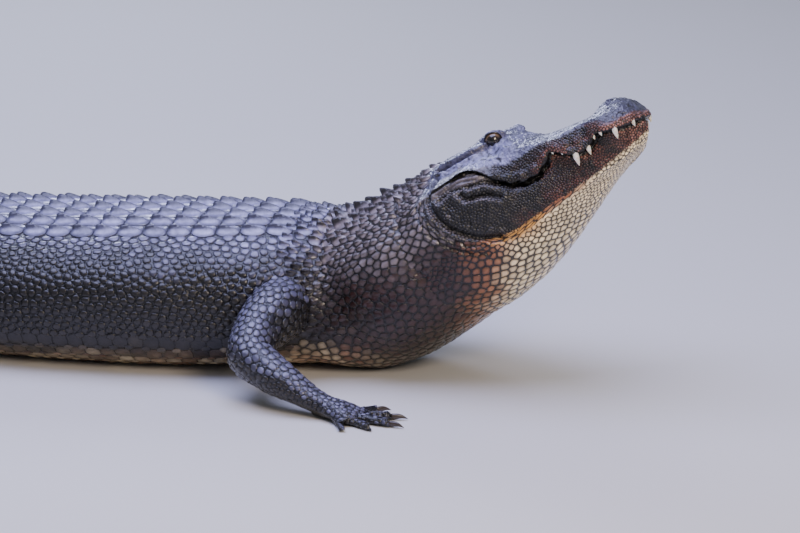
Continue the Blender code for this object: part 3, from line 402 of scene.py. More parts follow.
# The feet, flat on the floor: a palm and its toes, webbed behind, with claws of dark horn on the
# three inner toes. Heading out from straight ahead, length and half width of the palm, and the
# toes as spread, length, radius and whether they have a claw, from the inner one out.
FORE_FOOT = (12, 0.070, 0.042, ((-52, 0.052, 0.0105, True), (-24, 0.074, 0.0115, True),
                                (0, 0.082, 0.0115, True), (24, 0.070, 0.0100, False),
                                (52, 0.052, 0.0085, False)))
HIND_FOOT = (38, 0.105, 0.046, ((-30, 0.078, 0.0125, True), (-9, 0.104, 0.0130, True),
                                (12, 0.108, 0.0125, True), (34, 0.084, 0.0100, False)))
PALM_HEIGHT = 0.030
PALM_SECTIONS = ((-0.35, 0.30, 0.90), (-0.10, 0.52, 0.74), (0.14, 0.68, 0.76), (0.55, 0.94, 0.66),
                 (0.90, 0.98, 0.48), (1.02, 0.86, 0.34))
TOE_SECTIONS = ((-0.25, 1.0, 0.95), (0.10, 0.88, 0.90), (0.34, 1.04, 1.02), (0.52, 0.86, 0.88),
                (0.74, 0.98, 0.96), (0.90, 0.82, 0.84), (1.0, 0.45, 0.55))
CLAW_LENGTH, CLAW_RADIUS, CLAW_SINK = 0.024, 0.0058, 0.30
WEB_THICKNESS, WEB_BACK = 0.006, 0.007
claw_roots = []
toe_lines = []


def flat_ring(centre, ahead, wide, high, sides):
    """A ring across a foot or toe, flattened where it meets the floor."""
    side = np.array([-ahead[1], ahead[0], 0])
    turns = np.arange(sides) * 2 * pi / sides
    ring = centre + np.outer(np.cos(turns) * wide, side) + np.outer(np.sin(turns) * high, (0, 0, 1))
    ring[:, 2] = np.maximum(ring[:, 2], COAT_DEPTH * 0.4)
    return ring


for limb, (heading, length, half_width, toes) in (("fore", FORE_FOOT), ("hind", HIND_FOOT)):
    for way, side in ((1, "left"), (-1, "right")):
        wrist = leg_paths[limb, side][0][-1] * (1, 1, 0)
        ahead = np.array([cos(radians(heading)), sin(radians(heading)) * way, 0])
        sideways = np.array([-ahead[1], ahead[0], 0]) * way
        rings = [flat_ring(wrist + ahead * length * share + np.array([0, 0, PALM_HEIGHT * high * 0.9]),
                           ahead, half_width * wide - COAT_DEPTH, PALM_HEIGHT * high - COAT_DEPTH, PALM_SIDES)
                 for share, wide, high in PALM_SECTIONS]
        flesh.append(lofted(f"flesh_{limb}_palm_{side}", rings))
        rim = [wrist + ahead * length * 0.35]
        for spread, reach, radius, clawed in toes:
            angle = radians(heading + spread) * way
            out = np.array([cos(angle), sin(angle), 0])
            share = spread / 60
            base = wrist + ahead * length * (0.86 - 0.30 * share ** 2) + sideways * half_width * share * 0.95
            rings = []
            for part, thick, lift in TOE_SECTIONS:
                half = radius * thick - COAT_DEPTH * 0.5
                rings.append(flat_ring(base + out * reach * part + np.array([0, 0, radius * lift * 0.80]),
                                       out, half, half, TOE_SIDES))
            flesh.append(lofted(f"flesh_{limb}_toe_{side}", rings))
            toe_lines.append((base, out, reach, radius))
            if clawed:
                claw_roots.append((base + out * reach, out))
            if len(rim) > 1:
                rim.append((rim[-1] + base + out * reach * 0.58) / 2 - out * WEB_BACK)
            rim.append(base + out * reach * 0.58)
        if limb == "hind":
            web = [np.array(rim) + np.array([0, 0, z]) for z in (COAT_DEPTH * 0.6, WEB_THICKNESS)]
            flesh.append(lofted(f"flesh_web_{side}", web))

# The swellings of flesh that carry the lids, one over each eye. Each is a ball drawn out along
# the head, a little under the half lengths that the lids reach once they have their skin.
EYE_PLACE = np.array([0.0, 0.045, -0.007])
EYE_RADIUS = 0.0165
LID, LID_SKIN = np.array([0.028, 0.0205, 0.0178]), 0.0006
eye_centres = {way: head_point(EYE_PLACE[0], way * EYE_PLACE[1], EYE_PLACE[2]) for way in (1, -1)}
for way, centre in eye_centres.items():
    bpy.ops.mesh.primitive_uv_sphere_add(segments=48, ring_count=24, radius=1)
    mound = bpy.context.object
    mound.data.transform(Matrix(head_axes.T.tolist()).to_4x4() @ Matrix.Diagonal((*(LID - LID_SKIN), 1)))
    mound.data.transform(Matrix.Translation(centre))
    flesh.append(mound)

# One skin over all the flesh, grown together with no seam, its folds soft. Its grid is fine over
# the head, where the folds, lids and mouth are pressed into it, and thinned out over the body.
SKIN_GRID = 0.0024


def joined(name, pieces):
    """The pieces as one object."""
    bpy.ops.object.select_all(action="DESELECT")
    for piece in pieces:
        piece.select_set(True)
    bpy.context.view_layer.objects.active = pieces[0]
    bpy.ops.object.join()
    made = bpy.context.object
    made.name = name
    return made


skin = joined("skin", flesh)
skin.data.remesh_voxel_size = SKIN_GRID
skin.data.remesh_voxel_adaptivity = 0
bpy.ops.object.voxel_remesh()


def coordinates(mesh):
    """A mesh's points as one array."""
    found = np.empty(len(mesh.vertices) * 3, np.float32)
    mesh.vertices.foreach_get("co", found)
    return found.reshape(-1, 3).astype(float)


def smoothed(mesh, points, rounds, share):
    """The points, drawn towards their neighbours' middle by a share, several times over."""
    edges = np.empty(len(mesh.edges) * 2, np.int32)
    mesh.edges.foreach_get("vertices", edges)
    a, b = edges.reshape(-1, 2).T
    count = np.bincount(edges, minlength=len(points))[:, None]
    share = np.broadcast_to(share, (len(points),))[:, None]
    size = len(points)
    for _ in range(rounds):
        total = np.stack([np.bincount(a, points[b, c], size) + np.bincount(b, points[a, c], size)
                          for c in range(3)], -1)
        points = points + (total / count - points) * share
    return points


points = coordinates(skin.data)
local = (points - eyes_place) @ head_axes.T
head_share = smooth_step(HEAD_REAR - 0.01, HEAD_REAR + 0.03, local[:, 0])
points = smoothed(skin.data, points, 12, 0.6 * (1 - head_share) + 0.10 * head_share)
skin.data.vertices.foreach_set("co", points.astype(np.float32).ravel())
skin.data.update()

# The lines of the head, pressed into the skin on both sides, as (forward, up) places from the eyes:
# the slit of the ear, the folds under the mouth's corner, the creases of the jaw muscle and the
# groove round its rear. Each has a width and a depth, and raises a soft ridge beside it.
FOLDS = {"ear": (((-0.012, -0.012), (-0.040, -0.0155), (-0.074, -0.0185), (-0.112, -0.0200)),
                 0.0030, 0.0095),
         "tear": (((0.018, -0.009), (0.032, -0.019), (0.048, -0.030)), 0.0042, 0.0120),
         "muscle_top": (((-0.098, -0.066), (-0.075, -0.060), (-0.048, -0.0535), (-0.022, -0.0600)),
                        0.0026, 0.0030),
         "corner_top": (((-0.104, -0.0590), (-0.080, -0.0540), (-0.055, -0.0495), (-0.036, -0.0505)),
                        0.0021, 0.0032),
         "corner_low": (((-0.106, -0.0735), (-0.080, -0.0665), (-0.052, -0.0620), (-0.020, -0.0690)),
                        0.0022, 0.0032),
         "under_corner": (((-0.096, -0.078), (-0.070, -0.070), (-0.041, -0.0745), (-0.010, -0.078),
                           (0.014, -0.092)), 0.0044, 0.0060),
         "crease": (((-0.052, -0.084), (-0.043, -0.098), (-0.026, -0.1000), (-0.008, -0.104),
                     (0.012, -0.118)), 0.0046, 0.0070),
         "muscle": (((-0.112, -0.040), (-0.119, -0.068), (-0.113, -0.098), (-0.098, -0.132),
                     (-0.076, -0.158), (-0.050, -0.176), (-0.022, -0.187)), 0.0055, 0.0080),
         "muscle_outer": (((-0.128, -0.044), (-0.134, -0.074), (-0.127, -0.108), (-0.110, -0.144),
                           (-0.085, -0.172), (-0.054, -0.190)), 0.0035, 0.0035),
         "muscle_far": (((-0.143, -0.050), (-0.149, -0.082), (-0.141, -0.118), (-0.122, -0.156),
                         (-0.094, -0.186), (-0.058, -0.204)), 0.0035, 0.0030)}
RIDGE_SHARE, RIDGE_AWAY, RIDGE_WIDTH = 0.35, 2.4, 1.2
JAW_BORDER = ((-0.20, -0.190), (-0.10, -0.168), (-0.068, -0.176), (-0.024, -0.187), (0.004, -0.188),
              (0.0355, -0.182), (0.068, -0.175), (0.10, -0.169), (0.132, -0.164), (0.17, -0.157),
              (0.195, -0.150), (0.225, -0.141), (0.25, -0.134), (0.286, -0.118))
MUSCLE_REAR = ((-0.262, -0.06), (-0.19, -0.065), (-0.145, -0.105), (-0.11, -0.124), (-0.07, -0.133),
               (-0.02, -0.138), (0.02, -0.138))
CORNER_SKIN = ((-0.115, -0.074), (-0.07, -0.068), (-0.04, -0.072), (-0.01, -0.076), (0.014, -0.090))
SLATE_EDGE = ((-0.20, -0.095), (-0.13, -0.060), (-0.095, -0.040), (-0.058, -0.034), (-0.038, -0.043),
              (-0.014, -0.052), (0.0135, -0.058), (0.040, -0.0655), (0.0675, -0.065), (0.093, -0.060),
              (0.117, -0.057), (0.159, -0.0635), (0.189, -0.061), (0.223, -0.063), (0.242, -0.073),
              (0.260, -0.081), (0.284, -0.076), (0.294, -0.082))
EYE_OPENING = (0.0195, 0.0142, 0.0162)
GAZE_DOWN, GAZE_AHEAD = 0.32, 0.26
SOCKET_DEPTH, SOCKET_REACH = 0.84, 1.9
EYE_SHELF = (0.002, 0.074, 0.026, 0.017, 0.0135)
LIP_KNOBS = ((0.036, -0.088, 0.009, 0.0050), (0.060, -0.097, 0.010, 0.0062), (0.088, -0.096, 0.010, 0.0062),
             (0.114, -0.084, 0.009, 0.0052), (0.016, -0.076, 0.008, 0.0036), (0.048, -0.076, 0.009, 0.0032),
             (0.138, -0.076, 0.009, 0.0028), (0.158, -0.082, 0.010, 0.0024), (0.182, -0.084, 0.010, 0.0028),
             (0.210, -0.076, 0.009, 0.0022), (0.240, -0.080, 0.008, 0.0020))
NOSTRIL_PLACE, NOSTRIL_SIZE, NOSTRIL_DEPTH, NOSTRIL_RIM = (0.242, 0.014), (0.0100, 0.0042), 0.0090, 0.0020
LIP_SWELL, LIP_SWELL_UP, LIP_SWELL_WIDTH = 0.0016, 0.008, 0.006
WART_SIZE, WART_HEIGHT = 0.0065, 0.0012
LUMP_SIZE, LUMP_HEIGHT = 0.013, 0.0019
CROWN_GRAIN, CROWN_GRAIN_HEIGHT = 0.0050, 0.0007
CHIN_WRINKLE, CHIN_WRINKLE_DEPTH = 0.0065, 0.0008
PIT_SIZE, PIT_NOISE, PIT_DEPTH = 0.0075, (0.16, 0.42), 0.0014
ROUGHNESS_OF_HEAD = ((0.020, 0.0011), (0.009, 0.0007))


def distance_to(path, across, up):
    """Distances of (across, up) places to a path of short straight stretches."""
    nearest = np.full(len(across), 9.0)
    for (x0, y0), (x1, y1) in zip(path, path[1:]):
        length = (x1 - x0) ** 2 + (y1 - y0) ** 2
        t = np.clip(((across - x0) * (x1 - x0) + (up - y0) * (y1 - y0)) / length, 0, 1)
        nearest = np.minimum(nearest, np.hypot(across - x0 - t * (x1 - x0), up - y0 - t * (y1 - y0)))
    return nearest


def rounded(path, stretches=6):
    """The path through the same places, with its corners rounded."""
    places = np.arange(len(path))
    t = np.linspace(0, len(path) - 1, (len(path) - 1) * stretches + 1)
    return list(zip(*(through(list(zip(places, column)), t) for column in zip(*path))))


def roughness(points, scale, seed):
    """Smooth noise from -1 to 1 at points, for lumps of this size."""
    return np.array([noise.noise(Vector(p) / scale + Vector((seed, 0, 0))) for p in points])


def normals_of(mesh):
    """The normals at a mesh's points as one array."""
    found = np.empty(len(mesh.vertices) * 3, np.float32)
    mesh.vertex_normals.foreach_get("vector", found)
    return found.reshape(-1, 3).astype(float)


def gaze(side):
    """The way that the eye of one side looks: outward, and a little down and ahead."""
    outward = head_left * side - head_up * GAZE_DOWN + head_forward * GAZE_AHEAD
    return outward / np.linalg.norm(outward)


points = coordinates(skin.data)
on_head = np.flatnonzero((points - eyes_place) @ head_forward > HEAD_REAR)
place = points[on_head]
normal = normals_of(skin.data)[on_head]
f, l, u = ((place - eyes_place) @ head_axes.T).T
upward = normal @ head_up
beside = smooth_step(0.55, 0.80, np.abs(l) / through(LIP_WIDTH, f))
side_facing = smooth_step(0.15, 0.45, np.abs(normal @ head_left))
push = np.zeros(len(place))
for path, width, depth in FOLDS.values():
    gap = distance_to(rounded(path), f, u)
    here = side_facing * smooth_step(0.045, 0.065, np.abs(l))
    push -= here * depth * np.exp(-(gap / width) ** 2)
    push += here * depth * RIDGE_SHARE * np.exp(-((gap - RIDGE_AWAY * width) / (RIDGE_WIDTH * width)) ** 2)
over_lip = u - through(LIP, f)
swell = np.exp(-((over_lip - LIP_SWELL_UP) / LIP_SWELL_WIDTH) ** 2)
push += LIP_SWELL * beside * swell * smooth_step(-0.11, -0.05, f)
for at, level, radius, height in LIP_KNOBS:
    push += height * side_facing * np.exp(-((f - at) ** 2 + (u - level) ** 2) / radius ** 2 * 1.8)
warty = side_facing * smooth_step(0.0, 0.02, f) * smooth_step(-0.002, 0.006, through(SLATE_EDGE, f) - u)
push += WART_HEIGHT * warty * (over_lip > -0.002) * roughness(place, WART_SIZE, 31.0)
lumpy = side_facing * smooth_step(0.05, 0.0, f) * smooth_step(0.0, 0.012, through(CORNER_SKIN, f) - u)
push += LUMP_HEIGHT * lumpy * roughness(place, LUMP_SIZE, 71.0)
for side in (1, -1):
    off = np.hypot((f - NOSTRIL_PLACE[0]) / NOSTRIL_SIZE[0], (l - side * NOSTRIL_PLACE[1]) / NOSTRIL_SIZE[1])
    push -= NOSTRIL_DEPTH * smooth_step(0.2, 0.5, upward) * np.exp(-off ** 4)
    push += NOSTRIL_RIM * smooth_step(0.2, 0.5, upward) * np.exp(-((off - 1.7) / 0.5) ** 2)
at, aside, long, wide, depth = EYE_SHELF
shelf = np.exp(-((f - at) / long) ** 2 - ((np.abs(l) - aside) / wide) ** 2)
push -= depth * shelf * smooth_step(-0.050, -0.035, u)
for size, height in ROUGHNESS_OF_HEAD:
    push += height * roughness(place, size, 3.0)
bare = smooth_step(-0.004, 0.004, u - through(SLATE_EDGE, f)) * smooth_step(-0.14, -0.12, f)
push -= PIT_DEPTH * bare * smooth_step(*PIT_NOISE, roughness(place, PIT_SIZE, 41.0))
push += CROWN_GRAIN_HEIGHT * bare * roughness(place, CROWN_GRAIN, 61.0)
front = smooth_step(0.262, 0.280, f) * (over_lip < -0.006)
push += CHIN_WRINKLE_DEPTH * front * np.cos(2 * pi * l / CHIN_WRINKLE)
place = place + normal * push[:, None]
for side, centre in eye_centres.items():
    outward = gaze(side)
    along = head_forward - outward * (head_forward @ outward)
    along /= np.linalg.norm(along)
    over = np.cross(along, outward) * -side
    spoke = place - centre
    far = np.linalg.norm(spoke, axis=1)
    way = spoke / far[:, None]
    high = way @ over * EYE_RADIUS
    almond = (way @ along * EYE_RADIUS / EYE_OPENING[0]) ** 2 + np.where(
        high > 0, high / EYE_OPENING[1], high / EYE_OPENING[2]) ** 2
    inside = (1 - smooth_step(0.95, 1.25, almond)) * (way @ outward > 0)
    inside *= far < EYE_RADIUS * SOCKET_REACH
    sunk = np.minimum(far, EYE_RADIUS * SOCKET_DEPTH)
    place = centre + way * (far + (sunk - far) * inside)[:, None]
points[on_head] = place
skin.data.vertices.foreach_set("co", points.astype(np.float32).ravel())
skin.data.update()

# The skin is thinned over the trunk, legs and tail, where it lies under scales, so that the head
# keeps the finest grid and its folds stay sharp.
SKIN_TRIANGLES = 190000
body_share = 1 - smooth_step(HEAD_REAR - 0.05, HEAD_REAR + 0.01, (points - eyes_place) @ head_forward)
group = skin.vertex_groups.new(name="body")
for level in range(11):
    chosen = np.flatnonzero(np.round(body_share * 10) == level)
    group.add(chosen.tolist(), max(level / 10, 0.02), "REPLACE")
faces_now = 2 * len(skin.data.polygons)
thin = skin.modifiers.new("thin", "DECIMATE")
thin.ratio = min(1, SKIN_TRIANGLES / faces_now)
thin.vertex_group = "body"
bpy.context.view_layer.objects.active = skin
bpy.ops.object.modifier_apply(modifier="thin")
skin.vertex_groups.clear()
bpy.ops.object.shade_smooth()

# Colours of the wet hide: slate blue over the crown and back, dark grey hide with a painted reflection of
# the sky in it, near black on the jaws and flanks with rust and flesh showing near the lips, and cream under
# the throat.
SLATE, COAL, RUST, FLESH = (linear(code) for code in ("#787899", "#151211", "#5A3226", "#A47062"))
CREAM, TAN, AMBER, UMBER = (linear(code) for code in ("#FBE6B9", "#AA6E48", "#CC9448", "#42241E"))
# NECK_GREY: lavender grey of the neck, dark hide with a painted reflection of the sky in it.
NECK_GREY = linear("#8B8085")
# SEAM_SHADE: painted shade in the seams between scales.
SEAM_SHADE = 0.10


def tree_of(places):
    """A tree that finds the nearest of many places."""
    tree = KDTree(len(places))
    for i, place in enumerate(places):
        tree.insert(place, i)
    tree.balance()
    return tree


station_tree = tree_of(line)
limb_names = [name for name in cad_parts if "_leg_" in name or "_foot_" in name]
limb_points, limb_faces = [], []
for name in limb_names:
    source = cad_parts[name].data
    base = len(limb_points)
    limb_points += [tuple(v.co) for v in source.vertices]
    limb_faces += [[base + i for i in face.vertices] for face in source.polygons]
limb_tree = BVHTree.FromPolygons(limb_points, limb_faces)
LIMB_REACH = 0.008


def whereabouts(points):
    """For places on the skin: the nearest station of the line, the angle round it from the top of
    the back, the place in the head's frame, and whether it is on a limb."""
    station = np.array([station_tree.find(p)[1] for p in points])
    spoke = points - line[station]
    angle = np.arctan2(np.sum(spoke * line_left[station], 1), np.sum(spoke * line_up[station], 1))
    local = (points - eyes_place) @ head_axes.T
    limb = np.array([limb_tree.find_nearest(p, LIMB_REACH)[0] is not None for p in points])
    return station, angle, local, limb & (local[:, 0] < HEAD_REAR)


def mixed(first, second, share):
    """One colour turned into another by a share for each place."""
    share = np.asarray(share)[:, None]
    return first * (1 - share) + second * share


def markings(points, normals):
    """The hide's colour at places of the skin, with the sky's reflection and shade painted in."""
    station, angle, local, limb = whereabouts(points)
    f, l, u = local.T
    turned = np.abs(angle)
    along = stations[station]
    coarse = roughness(points, 0.045, 11.0)
    fine = roughness(points, 0.012, 23.0)
    pits = smooth_step(*PIT_NOISE, roughness(points, PIT_SIZE, 41.0))
    rightward = (points - eyes_place) @ np.array(view_right)
    low = eyes_place[2] - points[:, 2]
    # The body: slate over the back, a painted reflection of the sky, coal down the flanks and cream below.
    back = mixed(SLATE * 1.25, COAL * 1.4, smooth_step(0.6, 1.3, turned + 0.25 * coarse + 0.15 * fine))
    belly = mixed(TAN * 0.8, CREAM * 0.85, smooth_step(-0.4, 0.5, coarse))
    body = mixed(back, belly, smooth_step(1.85, 2.25, turned + 0.12 * coarse + 0.10 * fine))
    # The neck: lavender grey over it, the sky's reflection painted on dark hide, darker down its sides as
    # painted shade; cream where the throat faces the light, and umber painted as the shade under it.
    pale = smooth_step(-0.135, 0.080, rightward + 0.03 * coarse + 0.12 * (low - 0.21))
    gular = mixed(mixed(UMBER * 0.55, TAN * 0.8, smooth_step(0.10, 0.62, pale)), CREAM,
                  smooth_step(0.50, 0.92, pale))
    under_neck = mixed(UMBER * 0.5, gular, smooth_step(0.42, 0.56, along))
    over_neck = mixed(NECK_GREY, NECK_GREY * 0.6, smooth_step(0.8, 1.5, turned + 0.1 * coarse))
    round_neck = turned - 0.30 * smooth_step(0.46, 0.56, along) + 0.15 * coarse + 0.15 * fine
    neck_colour = mixed(over_neck, under_neck, smooth_step(1.22, 1.62, round_neck))
    body = mixed(body, neck_colour, smooth_step(0.28, 0.42, along))
    # Limbs: coal, with slate painted on their upward faces as the sky's reflection.
    limbs = mixed(COAL * 2.0, SLATE * 0.60, smooth_step(0.1, 0.9, normals[:, 2] + 0.2 * coarse))
    body = mixed(body, limbs, limb)
    # The jaws: coal, with rust near their edges and flesh at the lips and on the warts.
    near_lip = np.exp(-((u - through(LIP, f)) / 0.015) ** 2) * smooth_step(0.07, 0.10, f)
    near_border = np.exp(-((u - through(JAW_BORDER, f)) / 0.020) ** 2)
    rusty = smooth_step(-0.02, 0.08, f) * smooth_step(-0.35, 0.35, coarse + 0.7 * fine)
    rusty *= np.minimum(near_lip + near_border + smooth_step(0.17, 0.23, f) + 0.15, 1)
    dark = mixed(COAL, RUST, rusty)
    snout = mixed(RUST, FLESH, smooth_step(-0.5, 0.5, fine))
    dark = mixed(dark, snout, smooth_step(0.215, 0.270, f) * 0.8)
    lip = np.exp(-((u - through(LIP, f)) / 0.012) ** 2) * smooth_step(0.10, 0.15, f)
    dark = mixed(dark, FLESH, 0.75 * lip * smooth_step(-0.15, 0.35, fine + 0.4 * coarse))
    for at, level, radius, _ in LIP_KNOBS:
        spot = np.exp(-((f - at) ** 2 + (u - level) ** 2) / (radius * 0.8) ** 2)
        dark = mixed(dark, RUST * 1.5, 0.55 * spot * smooth_step(0.05, 0.08, f))
    # The crown: slate, dark hide with the sky's reflection painted in, its pits painted dark as shade, and a
    # painted highlight of sky on the cheek under the eye; down to its edge over the jaws.
    slate = mixed(SLATE * 0.38, SLATE * 0.22, smooth_step(0.13, 0.21, f))
    # Painted highlight: the cheek under the eye is lighter, as the sky's reflection.
    cheek_sheen = smooth_step(-0.010, -0.022, u) * smooth_step(-0.12, -0.08, f) * smooth_step(0.07, 0.03, f)
    slate = mixed(slate, SLATE * 1.05, cheek_sheen)
    slate = mixed(slate, COAL * 1.3, 0.85 * pits)
    above = u - through(SLATE_EDGE, f) + 0.004 * fine + 0.0025 * roughness(points, 0.005, 51.0)
    top = mixed(dark, slate, smooth_step(-0.0025, 0.0035, above))
    # The smooth skin at the mouth's corner and the upward faces of the jaws take lavender grey, a painted
    # reflection of the sky.
    corner = (1 - smooth_step(-0.02, 0.03, f)) * smooth_step(-0.004, 0.003, u - through(CORNER_SKIN, f))
    top = mixed(top, NECK_GREY, corner * smooth_step(-0.004, 0.0, through(LIP, f) - u))
    sky_sheen = smooth_step(0.25, 0.75, normals[:, 2]) * smooth_step(0.03, -0.02, f)
    top = mixed(top, NECK_GREY, 0.45 * sky_sheen * (above < 0))
    # The mouth's line and the folds, painted nearly black as the shade in them.
    gap = mouth_open(f) / 2
    mouth_line_shade = 1 - smooth_step(0.0, 0.003, np.abs(u - through(LIP, f) + gap) - gap)
    top = mixed(top, COAL * 0.35, mouth_line_shade * smooth_step(-0.125, -0.11, f))
    for path, width, _ in FOLDS.values():
        depth = np.exp(-(distance_to(rounded(path), f, u) / width) ** 2) * (np.abs(l) > 0.045)
        top = mixed(top, COAL * 0.4, 0.7 * depth)
    rear_share = smooth_step(0.004, -0.004, f - through(MUSCLE_REAR, u))
    top = mixed(top, neck_colour, rear_share)
    # The throat, with amber and tan pleats along the jaw.
    below = through(JAW_BORDER, f) - u
    band = smooth_step(-0.06, 0.0, f) * (1 - smooth_step(0.12, 0.18, f))
    reach = 0.009 + 0.009 * smooth_step(0.10, 0.02, f)
    pleated = mixed(TAN, AMBER, smooth_step(0.09, 0.04, f))
    throat = mixed(gular, pleated, band * (1 - smooth_step(reach * 0.5, reach, below)))
    amber = np.exp(-((f - 0.030) / 0.032) ** 2 - ((below - 0.016) / 0.013) ** 2)
    throat = mixed(throat, AMBER, 0.6 * amber)
    head = mixed(top, throat, smooth_step(-0.003, 0.003, below))
    return mixed(body, head, smooth_step(HEAD_REAR - 0.015, HEAD_REAR + 0.015, f))


def paint(mesh, colours):
    """Keeps a colour for each point of the mesh, for its material."""
    layer = mesh.color_attributes.new("Tint", "FLOAT_COLOR", "POINT")
    rgba = np.hstack([colours, np.ones((len(colours), 1))])
    layer.data.foreach_set("color", rgba.astype(np.float32).ravel())


HIDE_IOR, FILM_IOR, FILM_ROUGHNESS = 1.40, 1.33, 0.09
DULL, SMOOTH = 0.50, 0.30
SHADE_RANGE = (0.62, 1.30)
PEBBLE_ACROSS = 0.005


def wet_hide(name, pore, wrinkle, bump, pebble=0.0):
    """Wet reptile skin: horn-like scales over leathery hide under a thin film of water, which
    mirrors the light sharply over a dull ground. Pores and wrinkles are sizes in metres, and
    pebble is the height of the round grains that stand out of bare skin."""
    made = bpy.data.materials.new(name)
    made.use_nodes = True
    tree = made.node_tree
    shader = tree.nodes["Principled BSDF"]
    place = add_node(tree, "ShaderNodeTexCoord").outputs["Object"]
    tint = add_node(tree, "ShaderNodeAttribute", attribute_name="Tint").outputs["Color"]
    blotch = add_node(tree, "ShaderNodeTexNoise", {"Vector": place, "Scale": 0.35 / wrinkle, "Detail": 5.0})
    shade = add_node(tree, "ShaderNodeMapRange", {"Value": blotch.outputs["Fac"], "From Min": 0.3,
                                                  "From Max": 0.7, "To Min": SHADE_RANGE[0],
                                                  "To Max": SHADE_RANGE[1]})
    mottled = add_node(tree, "ShaderNodeMix", {0: 1.0, 6: tint, 7: shade.outputs["Result"]},
                       data_type="RGBA", blend_type="MULTIPLY")
    tree.links.new(mottled.outputs[2], shader.inputs["Base Color"])
    wet = add_node(tree, "ShaderNodeMapRange", {"Value": blotch.outputs["Fac"], "From Min": 0.35,
                                                "From Max": 0.65, "To Min": DULL, "To Max": SMOOTH})
    tree.links.new(wet.outputs["Result"], shader.inputs["Roughness"])
    pores = add_node(tree, "ShaderNodeTexNoise", {"Vector": place, "Scale": 0.5 / pore, "Detail": 3.0})
    folds = add_node(tree, "ShaderNodeTexNoise", {"Vector": place, "Scale": 0.5 / wrinkle, "Detail": 4.0})
    grains = add_node(tree, "ShaderNodeTexVoronoi", {"Vector": place, "Scale": 1 / PEBBLE_ACROSS},
                      feature="SMOOTH_F1")
    domes = add_node(tree, "ShaderNodeBump", {"Height": grains.outputs["Distance"], "Strength": 1.0,
                                              "Distance": pebble}, invert=True)
    coarse = add_node(tree, "ShaderNodeBump", {"Height": folds.outputs["Fac"], "Strength": 0.8,
                                               "Normal": domes.outputs["Normal"], "Distance": bump})
    fine = add_node(tree, "ShaderNodeBump", {"Height": pores.outputs["Fac"], "Strength": 0.6,
                                             "Normal": coarse.outputs["Normal"], "Distance": bump * 0.35})
    tree.links.new(fine.outputs["Normal"], shader.inputs["Normal"])
    tree.links.new(fine.outputs["Normal"], shader.inputs["Coat Normal"])
    shader.inputs["IOR"].default_value = HIDE_IOR
    shader.inputs["Coat Weight"].default_value = 1.0
    shader.inputs["Coat Roughness"].default_value = FILM_ROUGHNESS
    shader.inputs["Coat IOR"].default_value = FILM_IOR
    return made


# The skin's own finish. It keeps its colour where no scales cover it, on the crown and at the mouth's
# corner, and elsewhere is painted dark as the shade in the seams between scales, darkest under the
# throat. Its pebbled grain scatters small wet glints.
CORNER_SHARE = 0.45
skin_points = coordinates(skin.data)
skin_normals = normals_of(skin.data)
f, l, u = ((skin_points - eyes_place) @ head_axes.T).T
bare = smooth_step(-0.145, -0.130, f) * smooth_step(-0.006, 0.002, u - through(SLATE_EDGE, f))
corner = smooth_step(-0.004, 0.002, u - through(CORNER_SKIN, f))
corner *= smooth_step(-0.125, -0.110, f) * smooth_step(0.02, 0.0, f)
bare = np.maximum(bare, CORNER_SHARE * corner)
under_throat = smooth_step(0.0, 0.004, through(JAW_BORDER, f) - u)
under_throat *= smooth_step(HEAD_REAR - 0.15, HEAD_REAR - 0.05, f)
# Painted shade in the seams, darker still under the throat.
seam_shade = SEAM_SHADE * (1 - 0.5 * under_throat)
seam_shade = seam_shade + (1 - seam_shade) * bare
paint(skin.data, markings(skin_points, skin_normals) * seam_shade[:, None])
skin.data.materials.clear()
skin.data.materials.append(wet_hide("wet_skin", 0.0016, 0.005, 0.0034, 0.0018))
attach(skin, "root")
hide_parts(*[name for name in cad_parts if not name.startswith("eye_")])
